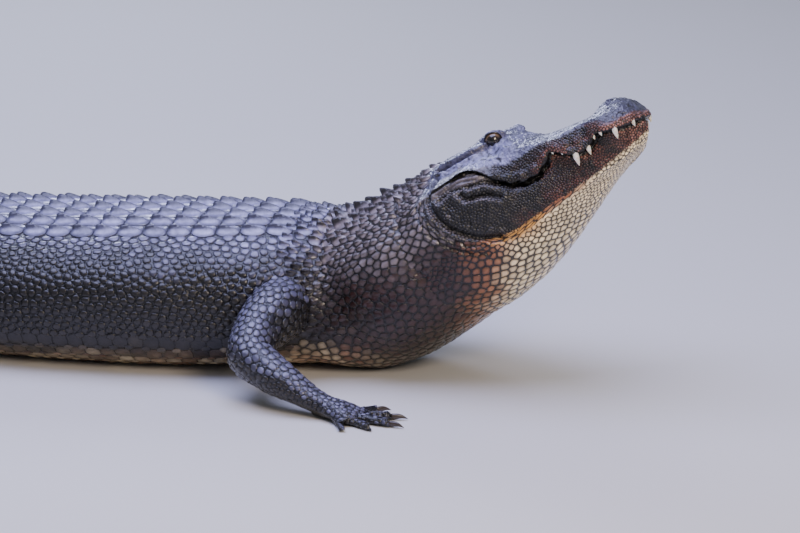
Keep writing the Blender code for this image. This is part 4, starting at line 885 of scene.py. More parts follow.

# The eyes: glassy balls with a dark iris round an upright slit, under a film of tears. The iris is painted
# gold above, as the sky's reflection, and black below, as shade.
# Each is set as deep as its socket, and the pattern runs round the direction of its gaze.
# The wet cornea gives one small sharp glint over a ball that is nearly black.
EYE_BLACK, EYE_BROWN, EYE_GOLD = ((*linear(code), 1) for code in ("#040303", "#1A100A", "#6E573E"))
SLIT_SHAPE, SLIT_EDGE = (5.5, 1.7, 0), (0.85, 1.05)
IRIS_RAYS, IRIS_RAGGED, IRIS_RING = 7.0, 0.16, (0.74, 0.90)
# GOLD_RISE: where the painted reflection of gold starts above; BROWN_RISE: where the painted black shade
# below turns brown.
GOLD_RISE, BROWN_RISE = (-0.05, 0.50), (-0.35, 0.20)
EYE_ROUGHNESS, CORNEA_IOR, TEAR_ROUGHNESS = 0.25, 1.38, 0.02
EYE_CLEARANCE = 0.0002
eye_axes = {}
for side, centre in eye_centres.items():
    outward = gaze(side)
    over = head_up - outward * (head_up @ outward)
    over /= np.linalg.norm(over)
    eye_axes[side] = np.array([np.cross(over, outward), over, outward])
    bpy.ops.object.select_all(action="DESELECT")
    bpy.ops.mesh.primitive_uv_sphere_add(segments=64, ring_count=48, radius=EYE_RADIUS - EYE_CLEARANCE)
    eye = bpy.context.object
    eye.name = "eyeball_left" if side > 0 else "eyeball_right"
    eye.data.transform(Matrix(eye_axes[side].T.tolist()).to_4x4())
    eye.data.transform(Matrix.Translation(centre))
    bpy.ops.object.shade_smooth()
    iris = bpy.data.materials.new("iris_" + eye.name)
    iris.use_nodes = True
    tree = iris.node_tree
    shader = tree.nodes["Principled BSDF"]
    spot = add_node(tree, "ShaderNodeTexCoord").outputs["Object"]
    moved = add_node(tree, "ShaderNodeVectorMath", {0: spot, 1: centre}, operation="SUBTRACT")
    ahead_part, over_part = (
        add_node(tree, "ShaderNodeVectorMath", {0: moved.outputs[0], 1: axis / EYE_RADIUS},
                 operation="DOT_PRODUCT").outputs["Value"] for axis in eye_axes[side][:2])
    flat = add_node(tree, "ShaderNodeCombineXYZ", {"X": ahead_part, "Y": over_part})
    slit = add_node(tree, "ShaderNodeVectorMath", {0: flat.outputs[0], 1: SLIT_SHAPE}, operation="MULTIPLY")
    slit_far = add_node(tree, "ShaderNodeVectorMath", {0: slit.outputs[0]}, operation="LENGTH")
    ring_far = add_node(tree, "ShaderNodeVectorMath", {0: flat.outputs[0]}, operation="LENGTH")
    rays = add_node(tree, "ShaderNodeTexNoise", {"Vector": flat.outputs[0], "Scale": IRIS_RAYS,
                                                 "Detail": 4.0})
    edge = add_node(tree, "ShaderNodeMath", {0: rays.outputs["Fac"], 1: IRIS_RAGGED}, operation="MULTIPLY")
    ragged = add_node(tree, "ShaderNodeMath", {0: ring_far.outputs["Value"], 1: edge.outputs[0]},
                      operation="ADD")
    outer = add_node(tree, "ShaderNodeMapRange", {"Value": ragged.outputs[0], "From Min": IRIS_RING[0],
                                                  "From Max": IRIS_RING[1]}, interpolation_type="SMOOTHSTEP")
    # Painted reflection: gold on the iris's upper rim.
    upper = add_node(tree, "ShaderNodeMapRange", {"Value": over_part, "From Min": GOLD_RISE[0],
                                                  "From Max": GOLD_RISE[1]}, interpolation_type="SMOOTHSTEP")
    gold_sheen = add_node(tree, "ShaderNodeMath", {0: outer.outputs[0], 1: upper.outputs[0]}, operation="MULTIPLY")
    # Painted shade: black on the lower part of the ball.
    lower = add_node(tree, "ShaderNodeMapRange", {"Value": over_part, "From Min": BROWN_RISE[0],
                                                  "From Max": BROWN_RISE[1]})
    pupil = add_node(tree, "ShaderNodeMapRange", {"Value": slit_far.outputs["Value"],
                                                  "From Min": SLIT_EDGE[0], "From Max": SLIT_EDGE[1]})
    brown = add_node(tree, "ShaderNodeMix", {0: lower.outputs[0], 6: EYE_BLACK, 7: EYE_BROWN},
                     data_type="RGBA")
    ringed = add_node(tree, "ShaderNodeMix", {0: gold_sheen.outputs[0], 6: brown.outputs[2], 7: EYE_GOLD},
                      data_type="RGBA")
    whole = add_node(tree, "ShaderNodeMix", {0: pupil.outputs[0], 6: EYE_BLACK, 7: ringed.outputs[2]},
                     data_type="RGBA")
    tree.links.new(whole.outputs[2], shader.inputs["Base Color"])
    shader.inputs["Roughness"].default_value = EYE_ROUGHNESS
    shader.inputs["IOR"].default_value = CORNEA_IOR
    shader.inputs["Coat Weight"].default_value = 1.0
    shader.inputs["Coat Roughness"].default_value = TEAR_ROUGHNESS
    eye.data.materials.append(iris)
    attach(eye, "root")
    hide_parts("eye_left" if side > 0 else "eye_right")

# The rims of the lids: rolls of dark wet skin round each ball, a thick one above and a thin pale one
# below, which meet at the corners and are sunk in the swelling that carries them. Their skin has
# finer pores than the hide's, so that the rims glint as thin lines round the eye.
LID_RIMS = {"upper": (1, 0.0030, 0.0014), "lower": (-1, 0.0021, 0.0010)}
RIM_SECTION = ((0.0, 0.0), (-0.15, 0.55), (0.30, 1.0), (1.1, 1.10), (2.0, 0.85), (2.9, 0.30), (2.6, -0.8),
               (0.8, -0.8))
# RIM_SHADES: painted shade, darkest on each rim's inner edge against the ball.
RIM_SHADES = (0.6, 0.5, 0.8, 1.0, 1.0, 1.0, 1.0, 1.0)
LID_DARK, LID_PALE = linear("#191413"), linear("#7D6B5E")
LID_REACH, LID_STEPS = 0.965, 41
wet_lids = wet_hide("wet_lid_skin", 0.0010, 0.0030, 0.0006)


def faced_out(piece):
    """Turns the faces of a closed piece outwards and shades it smooth."""
    bpy.ops.object.select_all(action="DESELECT")
    piece.select_set(True)
    bpy.context.view_layer.objects.active = piece
    bpy.ops.object.mode_set(mode="EDIT")
    bpy.ops.mesh.select_all(action="SELECT")
    bpy.ops.mesh.normals_make_consistent(inside=False)
    bpy.ops.object.mode_set(mode="OBJECT")
    bpy.ops.object.shade_smooth()


for side, centre in eye_centres.items():
    along, over, outward = eye_axes[side]
    for lid, (way, thick, thin) in LID_RIMS.items():
        high = EYE_OPENING[1 if way > 0 else 2] / EYE_RADIUS
        rings, tints = [], []
        for turn in np.linspace(0.02, pi - 0.02, LID_STEPS):
            a, b = LID_REACH * cos(turn), high * sin(turn) * way
            spoke = along * a + over * b + outward * max(1 - a * a - b * b, 0.02) ** 0.5
            spoke /= np.linalg.norm(spoke)
            away = spoke * (spoke @ outward) - outward
            away /= np.linalg.norm(away)
            size = thin + (thick - thin) * sin(turn)
            rings.append([centre + spoke * (EYE_RADIUS + size * r) + away * size * q
                          for q, r in RIM_SECTION])
            base = LID_DARK if way > 0 else mixed(LID_DARK, LID_PALE, [sin(turn)])[0]
            # The upper rim turns slate outwards, a painted reflection of the sky.
            outer = SLATE * 0.9 if way > 0 else LID_DARK * 2
            tints += [mixed(base, outer, [min(1, max(0, q - 0.6))])[0] * shade
                      for (q, _), shade in zip(RIM_SECTION, RIM_SHADES)]
        name = f"eyelid_{lid}_" + ("left" if side > 0 else "right")
        rim = lofted(name, rings)
        faced_out(rim)
        paint(rim.data, np.array(tints))
        rim.data.materials.append(wet_lids)
        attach(rim, "root")

# The teeth that show outside the shut jaws: ivory cones, a little curved, each rooted under the lip
# by a place along the head and hanging down over the lower jaw by a length.
TEETH = ((0.284, 0.010), (0.257, 0.020), (0.231, 0.009), (0.2135, 0.006), (0.194, 0.016), (0.170, 0.024),
         (0.148, 0.004), (0.130, 0.006))
TOOTH_INSET, TOOTH_ROOT = 0.0074, 0.008
TOOTH_PROFILE = ((0.0, 0.50), (0.16, 0.78), (0.34, 1.0), (0.50, 0.94), (0.70, 0.70), (0.86, 0.42),
                 (0.96, 0.18), (1.0, 0.04))
TOOTH_THICKNESS, TOOTH_LEAN, TOOTH_BOW = (0.0026, 0.15), 0.10, 0.0014
TOOTH_SIDES = 14
teeth = []
for side in (1, -1):
    for place, length in TEETH:
        lip = float(through(LIP, place))
        out = float(through(LIP_WIDTH, place)) - TOOTH_INSET
        radius = TOOTH_THICKNESS[0] + length * TOOTH_THICKNESS[1]
        turns = np.arange(TOOTH_SIDES) * 2 * pi / TOOTH_SIDES
        rings = []
        for share, thick in TOOTH_PROFILE:
            ahead = place - length * TOOTH_LEAN * share ** 2 + radius * thick * np.cos(turns)
            aside = side * (out + TOOTH_BOW * sin(pi * share)) + radius * thick * 0.85 * np.sin(turns)
            rings.append(head_point(ahead, aside, lip + TOOTH_ROOT - (TOOTH_ROOT + length) * share))
        teeth.append(lofted("tooth", rings))
teeth = joined("teeth", teeth)
faced_out(teeth)


def grown(name, stain, spread, colours, roughness, ior):
    """Enamel or horn, hard and smooth under the wet, in two colours that run into each other in
    stains of a size in metres."""
    made = bpy.data.materials.new(name)
    made.use_nodes = True
    tree = made.node_tree
    shader = tree.nodes["Principled BSDF"]
    place = add_node(tree, "ShaderNodeTexCoord").outputs["Object"]
    cloud = add_node(tree, "ShaderNodeTexNoise", {"Vector": place, "Scale": 1 / stain, "Detail": 3.0})
    ramp = add_node(tree, "ShaderNodeValToRGB", {"Fac": cloud.outputs["Fac"]})
    for stop, position, colour in zip(ramp.color_ramp.elements, spread, colours):
        stop.position = position
        stop.color = (*linear(colour), 1)
    tree.links.new(ramp.outputs["Color"], shader.inputs["Base Color"])
    shader.inputs["Roughness"].default_value = roughness
    shader.inputs["IOR"].default_value = ior
    return made


# Tooth enamel is smooth and lets a little light in, which gives sharp glints and soft shadows.
ENAMEL_COLOURS, ENAMEL_STAIN = ("#C9BFA6", "#F3F0E6"), 1 / 220
ENAMEL_GLOW, ENAMEL_GLOW_DEPTH = 0.15, 0.004
enamel = grown("tooth_enamel", ENAMEL_STAIN, (0.30, 0.62), ENAMEL_COLOURS, 0.22, 1.62)
shader = enamel.node_tree.nodes["Principled BSDF"]
shader.inputs["Subsurface Weight"].default_value = ENAMEL_GLOW
shader.inputs["Subsurface Scale"].default_value = ENAMEL_GLOW_DEPTH
teeth.data.materials.append(enamel)
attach(teeth, "root")

# The claws: dark curved horn, three to a foot, their roots sunk in the toes and their points just
# over the floor. The horn has paler stains, and is smooth enough for a soft wet sheen.
CLAW_TAPER, CLAW_SIDES, CLAW_RINGS = (0.92, 1.4), 14, 10
CLAW_LEVEL, CLAW_ARCH, CLAW_DROP = 0.0072, 0.0024, 0.0042
CLAW_COLOURS, CLAW_STAIN = ("#1B1512", "#4A3E33"), 1 / 260
claws = []
for tip, out in claw_roots:
    rings = []
    for share in np.linspace(-CLAW_SINK, 1, CLAW_RINGS):
        bare = max(share, 0)
        radius = CLAW_RADIUS * (1 - CLAW_TAPER[0] * bare ** CLAW_TAPER[1])
        height = CLAW_LEVEL + CLAW_ARCH * sin(pi * bare) - CLAW_DROP * bare
        rings.append(flat_ring(tip + out * CLAW_LENGTH * share + np.array([0, 0, height]), out, radius * 0.8,
                               radius, CLAW_SIDES))
    claws.append(lofted("claw", rings))
claws = joined("claws", claws)
faced_out(claws)
claws.data.materials.append(grown("claw_horn", CLAW_STAIN, (0.0, 1.0), CLAW_COLOURS, 0.30, 1.54))
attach(claws, "root")

# The coat of scales. Every scale is a closed solid of horn, set in the skin beside its neighbours:
# its outline is the room that they leave it, drawn in by half the seam between them, its top is
# domed or keeled, and its root is sunk in the skin. The horn has fine pores under the water's
# film, so that every scale catches the light on its own.
skin_tree = BVHTree.FromPolygons([tuple(p) for p in skin_points],
                                 [tuple(face.vertices) for face in skin.data.polygons])
chance = np.random.default_rng(7)
NEIGHBOURS, MOST_REACH = 10, 1.15
SINK, FLOOR_CLEAR = 0.0012, 0.0004
FIN_HEIGHTS = (0.002, 0.006)
TINT_SPREAD = 0.20
BAKE_PATCH = 0.0015
scale_horn = wet_hide("wet_scale_horn", 0.0014, 0.005, 0.0010)


def on_skin(points, reach=0.05):
    """The nearest places of the skin and their normals."""
    found = [skin_tree.find_nearest(p, reach) for p in points]
    places = np.array([hit[0] if hit[0] is not None else p for hit, p in zip(found, points)])
    normals = np.array([hit[1] if hit[1] is not None else Vector((0, 0, 1)) for hit in found])
    return places, normals


def unit(vectors):
    """The vectors at length one."""
    return vectors / np.maximum(np.linalg.norm(vectors, axis=-1, keepdims=True), 1e-9)


def laid(lie, normals):
    """The ways that scales point and the ways across them, both level with the skin."""
    lie = unit(lie - normals * np.sum(lie * normals, 1)[:, None])
    return lie, np.cross(normals, lie)


def room_left(places, lie, across, spans, rays, seam, sharp):
    """How far each scale reaches along rays round its root, in its half sizes, before it meets the
    seam to a neighbour. Its corners are the sharper, the higher sharp is."""
    tree = tree_of(places)
    near = min(NEIGHBOURS + 1, len(places))
    neighbours = np.array([[found[1] for found in tree.find_n(place, near)] for place in places])[:, 1:]
    gap = places[neighbours] - places[:, None]
    flat = np.stack([np.einsum("nkc,nc->nk", gap, lie) / spans[:, :1],
                     np.einsum("nkc,nc->nk", gap, across) / spans[:, 1:]], -1) / 2
    apart = np.maximum(np.linalg.norm(flat, axis=-1), 1e-6)
    toward = flat / apart[..., None]
    facing = np.maximum(np.einsum("nkc,tc->nkt", toward, rays), 0)
    crowd = (facing / (apart * (1 - seam))[..., None]) ** sharp
    return np.minimum((crowd.sum(1) + 1e-9) ** (-1 / sharp), MOST_REACH)


def scale_faces(count, depth, around):
    """The corners of the faces of closed scales, each with rings of points one above another and a
    point on top, and where each face starts among them."""
    step = np.arange(around)
    after = (step + 1) % around
    quads = np.concatenate([np.stack([r * around + step, r * around + after, (r + 1) * around + after,
                                      (r + 1) * around + step], -1) for r in range(depth - 1)])
    last, top = (depth - 1) * around, depth * around
    fan = np.stack([last + step, last + after, np.full(around, top)], -1)
    base = np.stack([np.zeros(around - 2, int), step[2:], step[1:-1]], -1)
    offset = (np.arange(count) * (top + 1))[:, None, None]
    quads = (quads[None] + offset).reshape(-1, 4)
    threes = (np.concatenate([fan, base])[None] + offset).reshape(-1, 3)
    corners = np.concatenate([quads.ravel(), threes.ravel()])
    return corners, np.concatenate([np.arange(len(quads)) * 4, quads.size + np.arange(len(threes)) * 3])


def coat(name, roots, lie, spans, height, around, levels, seam=0.08, sharp=9.0, keel=0.0, ridge=1.5,
         rear=0.28, fin_shade=0.0, sweep=0.0, dome=0.45, shading=0.22, vary=0.10):
    """Scales with roots on the skin, as one joined piece.

    Lie is the way ahead of each scale, spans its half length and half width, height the top of its
    dome, and keel that of the ridge along it. Levels are the rings of points between the rim and
    the top. Ridge makes the keel narrower, rear raises it behind and sweep leans it back. Fin is how
    dark the keel's flanks and top are painted, as shade on wet horn set on edge. Shading is how much
    light the seams keep: each scale is painted darker towards its rim, as shade in the seams.
    """
    count = len(roots)
    places, normals = on_skin(roots)
    lie, across = laid(lie, normals)
    spans = np.broadcast_to(spans, (count, 2))
    height = np.broadcast_to(height, (count,)) * (1 + chance.uniform(-vary, vary, count))
    keel = np.broadcast_to(keel, (count,)) * (1 + chance.uniform(-vary, vary, count))
    turns = np.arange(around) * 2 * pi / around
    rays = np.stack([np.cos(turns), np.sin(turns)], -1)
    reach = room_left(places, lie, across, spans, rays, seam, sharp)
    x, y = reach * rays[:, 0], reach * rays[:, 1]
    rim = (places[:, None] + lie[:, None] * (x * spans[:, :1])[..., None]
           + across[:, None] * (y * spans[:, 1:])[..., None])
    rim, rim_normals = (part.reshape(count, around, 3) for part in on_skin(rim.reshape(-1, 3)))
    most = np.maximum(np.abs(x).max(1), 0.2)[:, None], np.maximum(np.abs(y).max(1), 0.2)[:, None]
    finned = smooth_step(*FIN_HEIGHTS, keel)
    rings = [rim - rim_normals * SINK]
    # Painted shade: the rim's ring is darkest, and the rings grow lighter towards the middle.
    shades = [np.full((count, around), shading * 0.5)]
    for share in levels[:-1]:
        lift = height[:, None] * (1 - dome * share ** 2.2)
        side = np.minimum(np.abs(y * share) / most[1], 1)
        ahead = x * share / most[0]
        blade = (1 - side) ** ridge * (1 - rear - rear * ahead) * (1 - share ** 5)
        lift = lift + keel[:, None] * blade
        normal = unit(normals[:, None] * (1 - share) + rim_normals * share)
        spot = places[:, None] * (1 - share) + rim * share
        rings.append(spot + (normal - lie[:, None] * sweep) * lift[..., None])
        # Painted shade on the keel's steep flanks and along its ridge.
        dark = fin_shade * smooth_step(0.10, 0.34, blade) * finned[:, None]
        shades.append((shading + (1 - shading) * min(1, (1 - share) * 2.4 + 0.10)) * (1 - dark))
    peak = height + keel * (1 - rear)
    tops = places + (normals - lie * sweep) * peak[:, None]
    vertices = np.concatenate([np.stack(rings, 1).reshape(count, -1, 3), tops[:, None]], 1)
    vertices[..., 2] = np.maximum(vertices[..., 2], FLOOR_CLEAR)
    corners, starts = scale_faces(count, len(rings), around)
    mesh = bpy.data.meshes.new(name)
    mesh.vertices.add(vertices.size // 3)
    mesh.vertices.foreach_set("co", vertices.astype(np.float32).ravel())
    mesh.loops.add(len(corners))
    mesh.loops.foreach_set("vertex_index", corners.astype(np.int32))
    mesh.polygons.add(len(starts))
    mesh.polygons.foreach_set("loop_start", starts.astype(np.int32))
    mesh.update(calc_edges=True)
    mesh.validate()
    made = bpy.data.objects.new(name, mesh)
    bpy.context.scene.collection.objects.link(made)
    tint = markings(places, normals)[:, None] * (1 + chance.uniform(-TINT_SPREAD, TINT_SPREAD, (count, 1, 1)))
    # The top point takes the keel's painted shade too.
    shade = np.concatenate([np.stack(shades, 1).reshape(count, -1), 1 - fin_shade * finned[:, None]], 1)
    paint(mesh, (tint * shade[..., None]).reshape(-1, 3))
    # Each scale has its own small patch in the chart of its piece, so that a baked picture fits it.
    chart = np.stack([places[:, 0] + 0.2 * places[:, 2], whereabouts(places)[1]], -1)
    low_end, high_end = chart.min(0), chart.max(0)
    chart = 0.01 + 0.98 * (chart - low_end) / np.maximum(high_end - low_end, 1e-6)
    patch = (np.array([1.0, *levels[:-1]])[:, None, None] * rays).reshape(-1, 2) * BAKE_PATCH
    patch = np.concatenate([patch, np.zeros((1, 2))])
    layer = mesh.uv_layers.new(name="OFBake")
    layer.data.foreach_set("uv", (chart[:, None] + patch).reshape(-1, 2)[corners].astype(np.float32).ravel())
    mesh.polygons.foreach_set("use_smooth", np.ones(len(mesh.polygons), bool))
    mesh.materials.append(scale_horn)
    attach(made, "root")


# The armour of the back: rows of bony plates under horn, each keeled from front to rear, six across
# the trunk, which narrow with it towards the neck and the tail.
ROW_SPACING = 0.048
BACK_ROWS = (-0.66, 0.252)
PLATE_EDGES = (0.144, 0.099, 0.050, 0.0)
WIDEST = 0.262
PLATE_HEIGHT, PLATE_DOME = (0.019, 0.021, 0.018), 0.0030
PLATE_LEVELS = (1.0, 0.93, 0.80, 0.64, 0.46, 0.28, 0.12, 0.0)


def ring_at(along, turns):
    """A ring of the skin at a distance along the line, how far round it each of its points lies,
    and the way ahead."""
    i = int(round((along - TAIL_TIP) / STEP))
    ring = body_points(np.full(len(turns), i), turns)
    gone = np.concatenate([[0], np.cumsum(np.linalg.norm(np.diff(ring, axis=0), axis=1))])
    return ring, gone, line_forward[i]


def over_back(along, across):
    """The skin's place at distances along the line and across the back from its middle."""
    turns = pi / 2 - np.linspace(-1.2, 1.2, 241) * pi / 2
    ring, gone, ahead = ring_at(along, turns)
    gone -= gone[len(turns) // 2]
    return np.array([np.interp(-across, gone, ring[:, c]) for c in range(3)]), ahead


roots, lies, spans, keels = [], [], [], []
for row in np.arange(BACK_ROWS[0] + ROW_SPACING / 2, BACK_ROWS[1], ROW_SPACING):
    spread = float(through(HALF_WIDTH, row)) / WIDEST
    for way in (1, -1):
        for outer, inner, height in zip(PLATE_EDGES[-2::-1], PLATE_EDGES[:0:-1], PLATE_HEIGHT):
            place, ahead = over_back(row, way * (outer + inner) / 2 * spread)
            roots.append(place)
            lies.append(ahead)
            spans.append((ROW_SPACING / 2, (outer - inner) / 2 * spread))
            keels.append(height)
# The keels' flanks are painted dark as shade.
coat("back_plates", np.array(roots), np.array(lies), np.array(spans), PLATE_DOME, 32, PLATE_LEVELS, seam=0.03,
     sharp=16, keel=(np.array(keels) - PLATE_DOME) * 1.1, ridge=3.4, rear=0.42, fin_shade=0.80, sweep=0.10)

# The tall paired plates on the neck stand up from it like fins, with lower keeled ones beside them.
# Each has a place along the line and across the back, and the plates a length, width and height.
NUCHAL_PLATES = ((0.475, 0.028, 0.056, 0.046, 0.024), (0.418, 0.030, 0.056, 0.048, 0.026),
                 (0.446, 0.084, 0.046, 0.036, 0.020), (0.370, 0.024, 0.028, 0.030, 0.013))
NAPE_SCALE_LENGTH, NAPE_SCALE_WIDTH = 0.030, 0.028
NAPE_SCALES = ((0.575, 0.020, 0.016), (0.570, 0.062, 0.015), (0.572, 0.102, 0.013), (0.532, 0.026, 0.021),
               (0.528, 0.074, 0.018), (0.535, 0.116, 0.014), (0.490, 0.098, 0.016), (0.492, 0.140, 0.012),
               (0.442, 0.138, 0.014), (0.395, 0.120, 0.014), (0.398, 0.160, 0.012), (0.372, 0.072, 0.014),
               (0.345, 0.115, 0.012), (0.325, 0.055, 0.013), (0.300, 0.020, 0.012), (0.285, 0.090, 0.013))
nape_plates = [*NUCHAL_PLATES, *((along, across, NAPE_SCALE_LENGTH, NAPE_SCALE_WIDTH, height)
                                 for along, across, height in NAPE_SCALES)]
roots, lies, spans, keels = [], [], [], []
for along, across, length, width, height in nape_plates:
    for way in (1, -1):
        place, ahead = over_back(along, way * across)
        roots.append(place)
        lies.append(ahead)
        spans.append((length / 2, width / 2))
        keels.append(height)
nuchal_roots, nuchal_lies, nuchal_spans = np.array(roots), np.array(lies), np.array(spans)
# Their keels are painted nearly black as shade.
coat("nuchal_plates", nuchal_roots, nuchal_lies, nuchal_spans, PLATE_DOME, 32, PLATE_LEVELS, seam=0.02,
     sharp=14, keel=(np.array(keels) - PLATE_DOME) * 1.45, ridge=3.8, rear=0.45, fin_shade=0.92, sweep=0.22)

# The tail's crest: two rows of upright vanes, which join into one towards the tip. Each vane is as
# long as a ring of the tail, and leans back a little.
TAIL_END, TAIL_FRONT = -2.385, -0.66
CREST_SPACING = 0.045
CREST_START, CREST_JOINS, CREST_END = -0.68, -1.46, -2.38
CREST_HEIGHT = ((-2.38, 0.016), (-2.10, 0.036), (-1.70, 0.052), (-1.46, 0.052), (-1.10, 0.040),
                (-0.80, 0.026), (-0.68, 0.020))
CREST_ACROSS = ((-1.46, 0.013), (-1.20, 0.036), (-0.90, 0.064), (-0.68, 0.084))
CREST_HALF_WIDTH = ((-2.40, 0.004), (-2.00, 0.008), (-1.46, 0.010), (-0.68, 0.016))
CREST_LEVELS = (1.0, 0.95, 0.86, 0.72, 0.50, 0.26, 0.0)
roots, lies, spans, keels = [], [], [], []
for along in np.arange(CREST_START - CREST_SPACING / 2, CREST_END, -CREST_SPACING):
    out = float(through(CREST_ACROSS, along))
    for across in ((out, -out) if along > CREST_JOINS else (0.0,)):
        place, ahead = over_back(along, across)
        roots.append(place)
        lies.append(ahead)
        spans.append((CREST_SPACING / 2, float(through(CREST_HALF_WIDTH, along))))
        keels.append(float(through(CREST_HEIGHT, along)) * 0.93)
crest_roots, crest_lies, crest_spans = np.array(roots), np.array(lies), np.array(spans)
# The vanes' flanks are painted darker as shade.
coat("tail_crest", crest_roots, crest_lies, crest_spans, 0.002, 24, CREST_LEVELS, seam=0.02, sharp=14,
     keel=np.array(keels), ridge=1.15, fin_shade=0.45, sweep=0.35)

# The rest of the coat fills the skin between those plates. On the tail and belly the scales stand
# in rings, a scale's width apart, and elsewhere they are set in turn from the tail to the snout,
# each clear of those before it, so that rows run round the body and shift as the sizes change.
plated = [np.concatenate(part) for part in zip((nuchal_roots, nuchal_lies, nuchal_spans),
                                               (crest_roots, crest_lies, crest_spans))]
SPOT_SHARE = 3
TRUNK_END, NAPE_START = 0.28, 0.254
BACK_EDGE = 0.150
MUSCLE_MIDDLE = (-0.045, -0.115)
near_head = (points - eyes_place) @ head_forward > HEAD_REAR - 0.06
spots = points[near_head | (np.arange(len(points)) % SPOT_SHARE == 0)]
spots, spot_normals = on_skin(spots + chance.uniform(-0.5, 0.5, spots.shape) * SKIN_GRID)
station, angle, local, limb = whereabouts(spots)
f, l, u = local.T
head_spot = f > HEAD_REAR
turned = np.abs(angle)
along_line = stations[station]
below_border = through(JAW_BORDER, f) - u
behind_jaw = head_spot & (f < through(MUSCLE_REAR, u)) & (below_border <= 0.001)
body_lie = line_forward[station]
spoke = unit(np.stack([f - MUSCLE_MIDDLE[0], u - MUSCLE_MIDDLE[1]], -1))
round_muscle = spoke[:, :1] * head_up - spoke[:, 1:] * head_forward
round_muscle *= np.where(np.sum(round_muscle * body_lie, 1) < 0, -1, 1)[:, None]
off_muscle = distance_to(rounded(FOLDS["muscle_outer"][0]), f, u)
beside_muscle = np.exp(-(off_muscle / 0.030) ** 2) * (f > HEAD_REAR - 0.05) * (np.abs(l) > 0.08)
flow = body_lie * (1 - beside_muscle[:, None]) + round_muscle * beside_muscle[:, None]


def scattered(mask, lie, spans, clear=0.92, avoid=()):
    """Roots, lies and half sizes of scales set in turn on the spots of a mask, clear of each other
    and of the scales to avoid."""
    chosen = np.flatnonzero(mask)
    places, normals = spots[chosen], spot_normals[chosen]
    lie, across = laid(np.broadcast_to(lie, spots.shape)[chosen], normals)
    spans = np.broadcast_to(spans, (len(spots), 2))[chosen]
    tree = tree_of(places)
    free = np.ones(len(places), bool)
    for root, ahead, span in zip(*avoid):
        near = np.array([hit[1] for hit in tree.find_range(root, float(span.max()) * 1.8)], int)
        gap = places[near] - root
        along = gap @ ahead
        aside = np.sqrt(np.maximum(np.sum(gap * gap, 1) - along ** 2, 0))
        free[near[(along / (span[0] + 0.004)) ** 2 + (aside / (span[1] + 0.004)) ** 2 < 1]] = False
    key = along_line[chosen] + np.where(head_spot[chosen], f[chosen] - HEAD_REAR, 0)
    kept = []
    for i in np.argsort(key + chance.uniform(0, 0.0012, len(key))):
        if not free[i]:
            continue
        kept.append(i)
        near = np.array([hit[1] for hit in tree.find_range(places[i], float(spans[i].max()) * 2)], int)
        gap = places[near] - places[i]
        far = (gap @ lie[i] / spans[i, 0] / 2) ** 2 + (gap @ across[i] / spans[i, 1] / 2) ** 2
        free[near[far < clear ** 2]] = False
    return places[kept], lie[kept], spans[kept]


def between(low, high, share):
    """Half sizes between two pairs, by a share for each spot."""
    return np.array(low) * (1 - share[:, None]) + np.array(high) * share[:, None]


def banded(low, high, spacing, width, top=None, bottom=None):
    """Roots, lies and half sizes in rings round the body, of scales about as wide as the knots of
    width say. Top and bottom give how far below the middle of the back a ring starts and ends at a
    place along the body. Without them it starts at the back's middle and ends at the belly's."""
    roots, lies, spans = [], [], []
    for along in np.arange(low + spacing / 2, high, spacing):
        for way in (1, -1):
            ring, gone, ahead = ring_at(along, pi / 2 - way * np.linspace(0, pi, 240))
            first = top(along) if top else 0.0
            last = bottom(along) if bottom else gone[-1]
            count = int(round((last - first) / float(through(width, along))))
            for k in range(count):
                at = first + (k + 0.5) * (last - first) / count
                roots.append([np.interp(at, gone, ring[:, c]) for c in range(3)])
                lies.append(ahead)
                spans.append((spacing / 2, (last - first) / count / 2))
    roots, lies, spans = np.array(roots), np.array(lies), np.array(spans)
    places, _ = on_skin(roots)
    clear = np.linalg.norm(places - roots, axis=1) < 0.005
    clear &= ~whereabouts(places)[3]
    return places[clear], lies[clear], spans[clear]


# The tail's sides and underside: rings of long scales, one ring to each vane of the crest. Broader
# plates, keeled as those of the back are, fill the top between the two rows of the crest.
TAIL_SCALE_WIDTH = ((-2.4, 0.012), (-1.8, 0.018), (-1.2, 0.024), (-0.66, 0.030))


def crest_edges(along):
    """How far below the back's middle the inner and outer edges of the crest's vanes stand."""
    out = float(through(CREST_ACROSS, along)) if along > CREST_JOINS else 0.0
    half = float(through(CREST_HALF_WIDTH, along))
    return max(out - half, 0.001), out + half


def crest_inside(along):
    """The edge of the vanes that faces the back's middle."""
    return crest_edges(along)[0]


def crest_outside(along):
    """The edge of the vanes that faces the tail's side."""
    return crest_edges(along)[1]


roots, lies, spans = banded(TAIL_END, TAIL_FRONT, CREST_SPACING, TAIL_SCALE_WIDTH, top=crest_outside)
coat("tail_rings", roots, lies, spans, 0.0016, 20, (1.0, 0.90, 0.55, 0.0), seam=0.04, sharp=16, keel=0.0014,
     ridge=1.2)
roots, lies, spans = banded(CREST_JOINS, TAIL_FRONT, CREST_SPACING, TAIL_SCALE_WIDTH, bottom=crest_inside)
coat("tail_top_plates", roots, lies, spans, 0.0030, 20, (1.0, 0.90, 0.70, 0.40, 0.0), seam=0.04, sharp=14,
     keel=0.0060, ridge=1.3)

# The belly: square-cut flat scales in rings, and small ovals in the wrinkled skin of the flanks,
# which are larger towards the armour of the back.
BELLY_SPACING = 0.030
BELLY_SCALE_WIDTH = ((TAIL_FRONT, 0.033), (TRUNK_END, 0.033))


def belly_edge(along):
    """How far below the back's middle the belly's square scales start."""
    return 0.70 * float(through(HALF_WIDTH, along)) + 0.19


